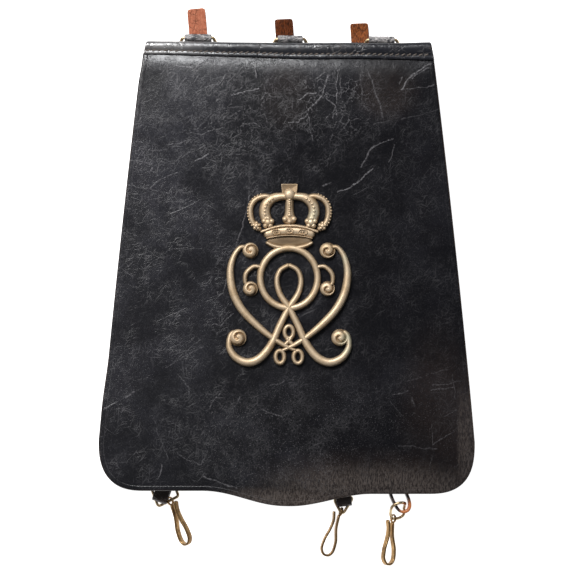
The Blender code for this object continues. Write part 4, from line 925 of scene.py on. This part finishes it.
def curve(rows, count, measured=3):
    """A Catmull-Rom curve through rows, evenly spaced by the length of its first few columns."""
    rows = np.asarray(rows, float)
    ends = np.vstack([2 * rows[0] - rows[1], rows, 2 * rows[-1] - rows[-2]])
    a, b, c, d = ends[:-3, None], ends[1:-2, None], ends[2:-1, None], ends[3:, None]
    t = np.linspace(0, 1, 24, endpoint=False)[None, :, None]
    bend = (2 * a - 5 * b + 4 * c - d) * t**2 + (3 * b - a - 3 * c + d) * t**3
    fine = np.vstack([(0.5 * (2 * b + (c - a) * t + bend)).reshape(-1, rows.shape[1]), rows[-1:]])
    run = run_of(fine[:, :measured])
    even = np.linspace(0, run[-1], count)
    return np.stack([np.interp(even, run, column) for column in fine.T], axis=1)


def flat_section(widths, thicks, corner, sides=6):
    """Rounded rectangles, one for each width and thickness: straight sides with quarter-round corners."""
    turn = (np.arange(4)[:, None] * 0.5 * math.pi + np.linspace(0, 0.5 * math.pi, sides)).reshape(-1)
    sign = np.repeat(np.array([(1, 1), (-1, 1), (-1, -1), (1, -1)]), sides, axis=0)
    corner = np.minimum(corner, 0.499 * np.minimum(widths, thicks))[:, None]
    first = sign[:, 0] * (0.5 * widths[:, None] - corner) + corner * np.cos(turn)
    second = sign[:, 1] * (0.5 * thicks[:, None] - corner) + corner * np.sin(turn)
    return np.stack([first, second], axis=2)


def level_width(path):
    """Level directions square to the path, to its left."""
    return unit(raised(-rightward(directions(path)), 0))


def strap_widths(run, end):
    """Full width along the run, narrow along its end, and half way between at the first point of the end."""
    widths = np.concatenate([np.full(len(run), STRAP_WIDE), np.full(len(end), STRAP_END)])
    widths[len(run)] = 0.5 * (STRAP_WIDE + STRAP_END)
    return widths


def strap(side_name, stations, count, tip_radius):
    """A strap along stations of x, y, z, width and width direction, round at its first end."""
    line = curve(stations, count)
    line = np.vstack([line[:1] + (line[1:2] - line[:1]) * np.linspace(0, 0.95, 8)[:, None], line[1:]])
    path, widths, wide = line[:, :3], line[:, 3], unit(line[:, 4:7])
    run = run_of(path)
    widths = widths - 2 * tip_radius * (1 - quarter_round(run / tip_radius))
    thicks = STRAP_THICK * quarter_round(np.minimum(run, run[-1] - run) / 0.7, 0.1)
    shell = tube(path, wide, flat_section(widths, thicks, 0.6))
    piece("strap_" + side_name, [shell], STRAP_LEATHER, ["sling_" + side_name])


def strap_look():
    """Black grain side below; the brown flesh side shows on the tongues and, darker, near the hooks."""
    t = Tree("strap_leather")
    normal = t.node("SeparateXYZ", {0: t.node("NewGeometry", {}).outputs["Normal"]})
    bent = t.warped(0.25, 1.2)
    clouds = t.noise(0.16, 4, 0.65, 2)
    fibre = t.noise(1, 4, 0.7, 5, t.vector("MULTIPLY", bent, (1.6, 0.35, 1)))
    lines = t.times(t.cracks(bent, 4.5, 0.35), t.span(t.noise(0.2, 2, 0.5, 1), 0.4, 0.6))
    salmon = t.mix(t.span(fibre, 0.3, 0.75), (0.29, 0.080, 0.042, 1), (0.50, 0.195, 0.115, 1))
    amber = t.mix(t.span(fibre, 0.38, 0.66), (0.07, 0.020, 0.007, 1), (0.32, 0.10, 0.032, 1))
    umber = t.mix(t.span(fibre, 0.38, 0.66), (0.02, 0.005, 0.0015, 1), (0.16, 0.040, 0.010, 1))
    flesh = t.mix(t.span(t.x, -45, -30), salmon, t.mix(t.span(t.x, 20, 40), umber, amber))
    flesh = t.mix(t.times(lines, 0.55), flesh, (0.07, 0.028, 0.016, 1))
    flesh = t.mix(t.span(clouds, 0.52, 0.72, 0, 0.6), flesh, (0.12, 0.045, 0.026, 1))
    grain = t.mix(t.span(clouds, 0.45, 0.75, 0, 0.6), (0.014, 0.013, 0.015, 1), (0.055, 0.035, 0.026, 1))
    grain = t.mix(t.times(lines, 0.5), grain, (0.11, 0.085, 0.07, 1))
    tongue = t.times(t.span(t.y, 178, 180), t.span(normal.outputs["Z"], 0.1, 0.5))
    eye = t.times(t.span(t.y, -155, -161), t.span(t.x, 82, 85), 0.85)
    grain = t.mix(t.span(t.y, -138, -150), grain, (0.026, 0.013, 0.009, 1))
    colour = t.mix(eye, t.mix(tongue, grain, flesh), (0.58, 0.19, 0.06, 1))
    height = t.add(t.add(t.times(clouds, 0.5), fibre, 0.25), lines, -0.3)
    shine = t.add(0.5, tongue, -0.4)
    return t.finish(colour, t.add(0.4, tongue, 0.14), height, 0.8, specular=shine)


STRAP_LEATHER = strap_look()


def folded_stations(rows, foot, heading, roll, reach):
    """The run and its folded end, which passes the foot by the reach: x, y, z, width, direction of the width."""
    run = np.array(rows, float)
    heading = unit(np.array([*heading, 0]))
    lateral = np.array([-heading[1], heading[0], 0])
    wide = math.cos(roll) * lateral + math.sin(roll) * UP
    normal = math.cos(roll) * UP - math.sin(roll) * lateral
    base = np.array([*foot, LIE + 0.5 * STRAP_END * math.sin(roll)])
    fold = np.array(FOLD)
    fold[3:10, 0] += reach
    bend = base + fold[:, :1] * heading + fold[:, 1:] * normal
    wide = np.vstack([level_width(run), np.tile(wide, (len(fold), 1))])
    return np.column_stack([np.vstack([run, bend]), strap_widths(run, fold), wide])


strap("left", folded_stations(LEFT_RUN, LEFT_FOOT, LEFT_HEADING, LEFT_ROLL, 6), 300, 2.4)
strap("middle", folded_stations(MIDDLE_RUN, MIDDLE_FOOT, MIDDLE_HEADING, 0, 3), 300, 2)
run, eye = np.array(RIGHT_RUN), np.array(RIGHT_EYE)
path = np.vstack([run, eye[:, :3]])
level = level_width(path)
level[len(run) + 4:] = level[len(run) + 3]
turn = np.radians(np.concatenate([np.zeros(len(run)), eye[:, 3]]))[:, None]
stations = np.column_stack([path, strap_widths(run, eye), level * np.cos(turn) + UP * np.sin(turn)])
strap("right", stations, 340, 2)

# Rings and spring hooks at the lower ends
# Each sling ends in a small bent brass ring and a spring hook: one strip of hard brass bent round a wide bow, its
# shank ending in a round eye for the ring and its free leg springing against the shank.
HOOK_BRASS = brass_look("hook_brass", (0.33, 0.205, 0.09, 1), (0.14, 0.078, 0.032, 1), 0.3, 0.14)
PALE_BRASS = brass_look("pale_brass", (0.56, 0.44, 0.27, 1), (0.26, 0.16, 0.085, 1), 0.32, 0.22)
SMALL_WIRE, HOOK_WIDE, HOOK_THICK, EYE_RADIUS, EYE_WALL, EYE_LENGTH = 1.05, 4.2, 1.6, 2.75, 1.1, 1.58
LEFT_CORNERS = ((-94.3, -161.7), (-79.4, -153.9), (-81.6, -147.6), (-101.4, -142.6))
MIDDLE_CORNERS = ((40.8, -167.8), (49.6, -153.9), (34.6, -156))
RIGHT_RING = (
    (86.3, -162.6, 1.2), (86, -167.4, 1.2), (82.6, -169.9, 1.7), (78.3, -170.4, 3.4), (76.3, -167.8, 7),
    (77, -162.4, 12.9), (79.4, -159.9, 15), (83.6, -158.6, 15), (86.6, -158.9, 10.5), (86.8, -160.2, 4.6),
)


def small_ring(side_name, path):
    """Round wire bent along a closed path."""
    ring = tube(path, path - path.mean(axis=0), round_section(SMALL_WIRE, 14, len(path)), closed=True)
    piece("small_ring_" + side_name, [ring], PALE_BRASS, ["hook_ring_" + side_name])


for side_name, foot, height, heading, corners, slopes in (
    ("left", LEFT_FOOT, 3.41, LEFT_HEADING, LEFT_CORNERS, (0.14, -0.17)),
    ("middle", MIDDLE_FOOT, 3.42, MIDDLE_HEADING, MIDDLE_CORNERS, (0, 0)),
):
    flat = dense(rounded_loop(corners, 1.7, 10), 0.6)
    heading = unit(np.array(heading))
    away = flat - np.array(foot)
    z = height + slopes[0] * (away @ np.array([-heading[1], heading[0]])) + slopes[1] * (away @ heading)
    small_ring(side_name, np.column_stack([flat, z]))
small_ring("right", curve(RIGHT_RING + RIGHT_RING[:1], 73)[:-1])

# the strip from the eye down its shank, round the bow and back along the free leg
HOOK_LINE = (
    (2.7, -0.5), (5, -0.6), (13, 0), (21, 2.2), (25, 2.6), (27.8, 2.6), (30.378, 2.169), (32.473, 0.957),
    (33.692, -0.809), (33.692, -3.191), (32.473, -4.957), (30.378, -6.169), (27.8, -6.6), (22, -6.1),
    (14.6, -4.3), (7.7, -3.6), (1.1, -5),
)
# eye, heading in plan, pitch and roll in degrees, and the side on which the bow stands
HOOKS = (
    ("left", (-85.4, -157.6, 3.7), (0.325, -0.946), 1.2, 40, -1),
    ("middle", (39.9, -165.3, 3.42), (-0.278, -0.96), 0, -13, 1),
    ("right", (78.3, -170.4, 3.4), (-0.0715, -0.9974), 1, -35, 1),
)
for side_name, eye, heading, pitch, tilt, side in HOOKS:
    eye, pitch, tilt = np.array(eye), math.radians(pitch), math.radians(tilt)
    level = unit(np.array([*heading, 0]))
    lateral = np.array([-level[1], level[0], 0])
    along = math.cos(pitch) * level + math.sin(pitch) * UP
    across = math.cos(tilt) * lateral + math.sin(tilt) * np.cross(along, lateral)
    wide = np.cross(along, across)
    line = curve(HOOK_LINE, 130, 2)
    path = eye + line[:, :1] * along + side * line[:, 1:] * across
    grow = ends_rounded(path, 1.3)
    sections = flat_section(HOOK_WIDE * grow, np.full(len(path), HOOK_THICK), 0.5)
    strip = tube(path, np.tile(wide, (len(path), 1)), sections)
    # the eye: a rounded rectangle turned about its bore
    turn = full_turn(48)
    section = flat_section(np.array([EYE_WALL]), np.array([EYE_LENGTH]), 0.4)[0]
    outward = np.cos(turn)[:, None] * wide + np.sin(turn)[:, None] * along
    points = eye + (EYE_RADIUS + section[None, :, :1]) * outward[:, None] + section[None, :, 1:] * across
    piece("spring_hook_" + side_name, [strip, skin(points, True)], HOOK_BRASS, ["hook_" + side_name])

# Badge
# A cast brass badge in raised relief: a crown of pearled arches on a jewelled band, over plain symmetric scrollwork
# of half-round ribbons ending in small volutes. It is pinned through the flap; wear has left its top faces pale, and
# its low parts are darker from patina and painted shade.
BADGE_X, BADGE_Z = 1.7, 20.95
# every ribbon is a row of stations: x and y from the badge's middle line, width, height
OUTER = (
    (31, 29.2, 3, 2.8), (36.2, 28.2, 3.6, 3.4), (41, 20.6, 4.6, 4), (43, 9.8, 5.6, 4.4),
    (41, -4, 6.2, 4.8), (34.6, -16.6, 6.2, 4.8), (24.4, -27.6, 5.6, 4.6), (13.6, -36.6, 4.6, 4.2),
    (4.6, -42.4, 3.8, 3.8), (-2.4, -45.8, 3, 3.4), (-6.4, -47.6, 2.8, 3.2),
)
LOWER = (
    (39.6, -32.2, 3, 2.8), (43.2, -36.4, 3.8, 3.4), (43.6, -45, 4.8, 4), (38.4, -52.4, 5.8, 4.4),
    (29.6, -55.6, 6.4, 4.7), (20.6, -51.8, 6.4, 4.7), (12.6, -41.6, 5.8, 4.5), (6.6, -28.4, 5.4, 4.3),
    (0, -15.6, 5, 4.1), (-6.6, -5.4, 4.6, 3.9), (-8.8, 4, 4.2, 3.7), (-6.4, 11.8, 3.8, 3.5),
    (0.8, 16.2, 3.4, 3.2),
)
TENDRIL = (
    (19.5, 14, 3, 3.2), (26, 14.6, 3.4, 3.4), (31.4, 9.6, 3.6, 3.4), (32, 3.4, 3.2, 3),
    (30, 0.4, 2.8, 3),
)
KNOTS = ((0, -33.4, 3.2, 4.5), (-6.6, -51.6, 3.2, 4.6), (6.6, -51.6, 3.2, 4.6))
KNOT_CROSS = ((-2.2, -36.9, 3.4, 3.2), (0.4, -40.2, 3.4, 3.4), (4.4, -44, 3.4, 3.2))
# volutes: x, y, radius, height, turn of the spiral's start in degrees
VOLUTES = ((28.2, 26.4, 5.8, 5.4, 20), (37.2, -37.4, 6.2, 5.6, 60), (28.2, -1.6, 5.5, 5.1, 50))
CROWN_X = 0.4
# jewels: x, y, half length; rosettes: x, y, radius, height; trefoil: x, y, radius
JEWELS = ((-9.8, 39.9, 2.3), (0, 40.8, 2), (9.8, 39.9, 2.5))
ROSETTES = ((15.8, 47, 5, 4.6), (24.2, 44.4, 3.5, 4.2))
TREFOIL = ((0, 52.2, 1.9), (-3.2, 49.4, 2.2), (3.2, 49.4, 2.2), (0, 47.6, 2))
RIM = ((-21.6, 39.8, 2.6, 3.8), (-11, 43.3, 2.6, 4.1), (0, 44.6, 2.6, 4.2))
BAND = ((-18.9, 37.6, 5.6, 3.1), (-10, 39.9, 6.2, 3.4), (0, 40.8, 6.2, 3.5))
BAND_FOOT = ((-17.2, 35.2, 1.3, 3.5), (-9.6, 36.7, 1.3, 3.8), (0, 37.4, 1.3, 3.9))
HOLLOW = ((-16.4, 34.2, 4.6, 1.9), (-9, 33.9, 7.6, 2), (0, 33.8, 9.2, 2.1))
FOOT = ((-17.4, 32.6, 2.8, 3.5), (-12, 29.9, 3.4, 3.7), (-6, 28.5, 3.6, 3.8), (0, 28.1, 3.6, 3.8))
CENTRE_ARCH = ((0, 45.2, 10.6, 3.4), (0, 50, 9.6, 3.8), (0, 55, 6.8, 4.2), (0, 65.5, 5.8, 4.8))
INNER_ARCH = (
    (2, 65.9, 5.2, 4.6), (-6, 66, 5.8, 4.6), (-12.4, 64.4, 7.2, 4.6), (-17.2, 59.6, 8.2, 4.4),
    (-18, 53.4, 8.4, 4.2), (-15.8, 47.4, 8, 4), (-13.2, 43.4, 6, 3.4),
)
OUTER_ARCH = (
    (-13, 65.4, 3.6, 3), (-18.6, 66.2, 4.2, 3.2), (-24.8, 63.8, 4.6, 3.2), (-28.2, 58.8, 4.8, 3.2),
    (-28.6, 52.6, 4.8, 3.2), (-26.6, 46.6, 4.6, 3.2), (-20.8, 41, 4.4, 3.2),
)


def bar_path(rows, count, flip, centre):
    """A curve through half of a shape's stations, mirrored where flip is -1."""
    line = curve(rows, count, 2)
    line[:, 0] = BADGE_X + centre + flip * line[:, 0]
    return line


def bar(rows, count, flip=1, centre=0, closed=False, power=2.3, ridge=0):
    """A cast ribbon: a superellipse arch over a flat back, its ends drawn in, with an optional raised lip."""
    line = bar_path(rows, count, flip, centre)
    if closed:
        line = line[:-1]
    path = raised(line[:, :2], BADGE_Z)
    size = np.ones(len(path)) if closed else ends_rounded(path, 0.5 * line[:, 2].min())
    turn = np.linspace(0, math.pi, 15)
    side = np.sign(np.cos(turn)) * np.abs(np.cos(turn)) ** (2 / 2.2)
    rise = np.sin(turn) ** (2 / power) * (1 - ridge * (1 - np.abs(np.cos(turn))) ** 2)
    width, height = (line[:, 2] * size)[:, None], (line[:, 3] * size)[:, None]
    section = np.stack([0.5 * width * side, height * rise], axis=2)
    across = raised(rightward(directions(path, closed)), 0)
    return skin(path[:, None] + section[..., :1] * across[:, None] + section[..., 1:] * UP, closed)


def boss(x, y, radius, height, base=0, groove=0, turns=1.6, start=0, hand=1, rings=14, sides=20):
    """A low dome on a short wall, closed below; a groove makes a spiral of these turns from rim to middle."""
    share = np.concatenate([[1, 1], np.linspace(1, 0.02, rings)])[:, None]
    turn = full_turn(sides)[None]
    level = np.sqrt(np.clip(1 - share**2.4, 0, 1)) * 0.72 + 0.28
    level[:2] = [[0], [0.2]]
    spiral = 0.5 + 0.5 * np.cos(turn * hand - 2 * math.pi * turns * share - math.radians(start))
    cutting = groove * spiral**4 * smooth((1.02 - share) / 0.12) * smooth(share / 0.3)
    z = BADGE_Z + base + height * (level - cutting)
    return skin(np.dstack([x + radius * share * np.cos(turn), y + radius * share * np.sin(turn), z]))


def both(rows):
    """A half row of stations and its mirror image."""
    return list(rows) + [(-x, y, width, height) for x, y, width, height in reversed(rows[:-1])]


def oval(x, y, across, down, width, height, count):
    """A ribbon closed on itself along an ellipse."""
    turn = np.linspace(0, 2 * math.pi, count + 1)
    rows = np.stack([x + across * np.cos(turn), y + down * np.sin(turn), turn * 0 + width, turn * 0 + height], axis=1)
    return bar(rows, count * 2 + 1, closed=True)


def pearls(rows, flip, offset, first, last, count, radius):
    """A row of small beads along a bar, at a sideways offset, between two shares of its length."""
    line = bar_path(rows, 200, flip, CROWN_X)
    at = (np.linspace(first, last, count) * 199).astype(int)
    place = line[at, :2] + offset * flip * rightward(directions(line[:, :2]))[at]
    rise = line[at, 3] * math.sqrt(max(0, 1 - (2 * abs(offset) / line[at, 2].mean()) ** 2)) - 0.2
    return [boss(a, b, radius, 1, z, rings=5, sides=10) for (a, b), z in zip(place, rise)]


badge = [oval(0, 6.2, 21, 22, 5.2, 3.9, 60)]
crown = []
for flip in (1, -1):
    badge += [bar(OUTER, 110, flip), bar(LOWER, 150, flip), bar(TENDRIL, 34, flip), bar(KNOT_CROSS, 20, flip)]
    for x, y, radius, height, start in VOLUTES:
        badge.append(boss(BADGE_X + flip * x, y, radius, height, 0, 0.5, 1.15, start, flip, 26, 44))
    crown += [bar(OUTER_ARCH, 60, flip, CROWN_X, power=1.7), bar(INNER_ARCH, 64, flip, CROWN_X, power=1.8)]
    crown += pearls(INNER_ARCH, flip, 0, 0.38, 0.88, 8, 1.05)
    crown += pearls(OUTER_ARCH, flip, 1.75, 0.2, 0.92, 15, 0.8)
    for x, y, radius, height in ROSETTES:
        middle = BADGE_X + CROWN_X + flip * x
        crown.append(boss(middle, y, 0.62 * radius, height + 0.7, rings=8, sides=14))
        for turn in np.radians((90, 162, 234, 306, 18)):
            a, b = middle + 0.58 * radius * math.cos(turn), y + 0.58 * radius * math.sin(turn)
            crown.append(boss(a, b, 0.42 * radius, height, rings=7, sides=12))
for x, y, across, down in KNOTS:
    badge.append(oval(x, y, across, down, 3.4, 3.2, 20))
for rows, power in ((HOLLOW, 3), (BAND, 3.2), (RIM, 1.8), (BAND_FOOT, 1.8), (FOOT, 1.6)):
    crown.append(bar(both(rows), 70, 1, CROWN_X, power=power))
crown.append(bar(CENTRE_ARCH, 40, 1, CROWN_X, power=1.8))
crown += pearls(CENTRE_ARCH, 1, 0, 0.42, 0.9, 7, 0.95)
middle = BADGE_X + CROWN_X
for x, y, radius in TREFOIL:
    crown.append(boss(middle + x, y, radius, 4.9, rings=8, sides=14))
# the orb, the jewels in their rims, and the block on top
crown.append(boss(middle, 67.4, 4.4, 6.6, rings=16, sides=28))
for x, y, half in JEWELS:
    crown += [oval(x + CROWN_X, y, half + 0.9, 1.75, 0.8, 4.2, 16), boss(middle + x, y, 1.1, 4.1, rings=6, sides=12)]
plate = np.array([(-5.2, 66), (5.2, 66), (6.2, 75.2), (-6.2, 75.2)])
edge = dense(rounded_loop(plate + [middle, 0], 0.4, 4), 0.8)
centre = edge.mean(axis=0)
levels = ((1, 0), (1, 1.9), (0.97, 2.3), (0.9, 2.45), (0.84, 2.1), (0.05, 2))
rings = np.array([raised(centre + (edge - centre) * s, BADGE_Z + h) for s, h in levels])
crown.append(skin(rings))


def badge_look():
    """Pale worn brass, darker and browner low down and in the grooves as patina and painted shade, painted dark in
    the crown's hollow and the jewels' settings, with a little green tarnish.
    """
    t = Tree("badge_brass")
    clouds = t.noise(0.11, 4, 0.6, 3)
    pits = t.noise(1.3, 3, 0.6, 8)
    # patina and painted shade: the brass is darker the lower it lies, in its hollows and on the shaded sides of the
    # ribbons
    high = t.span(t.z, BADGE_Z + 0.4, BADGE_Z + 4.4)
    colour = t.mix(high, (0.14, 0.088, 0.045, 1), (0.65, 0.505, 0.345, 1))
    colour = t.mix(t.span(clouds, 0.45, 0.68, 0, 0.7), colour, (0.43, 0.305, 0.175, 1))
    colour = t.mix(t.span(pits, 0.58, 0.78, 0, 0.6), colour, (0.13, 0.08, 0.045, 1))
    # painted shade: the crown's hollow under its band and the jewels' settings are painted dark, as shade in those
    # hollows
    painted_hollow_shade = t.blobs((middle, 34.6, 17, 4.4), *[(middle + x, y, half + 0.7, 1.6) for x, y, half in JEWELS])
    painted_hollow_shade = t.times(painted_hollow_shade, t.span(t.z, BADGE_Z + 4, BADGE_Z + 3.6), 0.7)
    colour = t.mix(painted_hollow_shade, colour, (0.075, 0.045, 0.024, 1))
    green = t.blobs((45, 22, 9, 16), (45, -42, 9, 12), (20, 52, 7, 11))
    colour = t.mix(t.times(green, t.span(clouds, 0.35, 0.6), 0.5), colour, (0.5, 0.55, 0.43, 1))
    height = t.add(t.times(clouds, 0.8), pits, 0.35)
    return t.finish(colour, t.span(clouds, 0.3, 0.7, 0.46, 0.6), height, 0.18, metallic=0.6, specular=0.3)


BADGE_BRASS = badge_look()
piece("badge_scrollwork", badge, BADGE_BRASS, ["badge"])
piece("badge_crown", crown, BADGE_BRASS)

low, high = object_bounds()
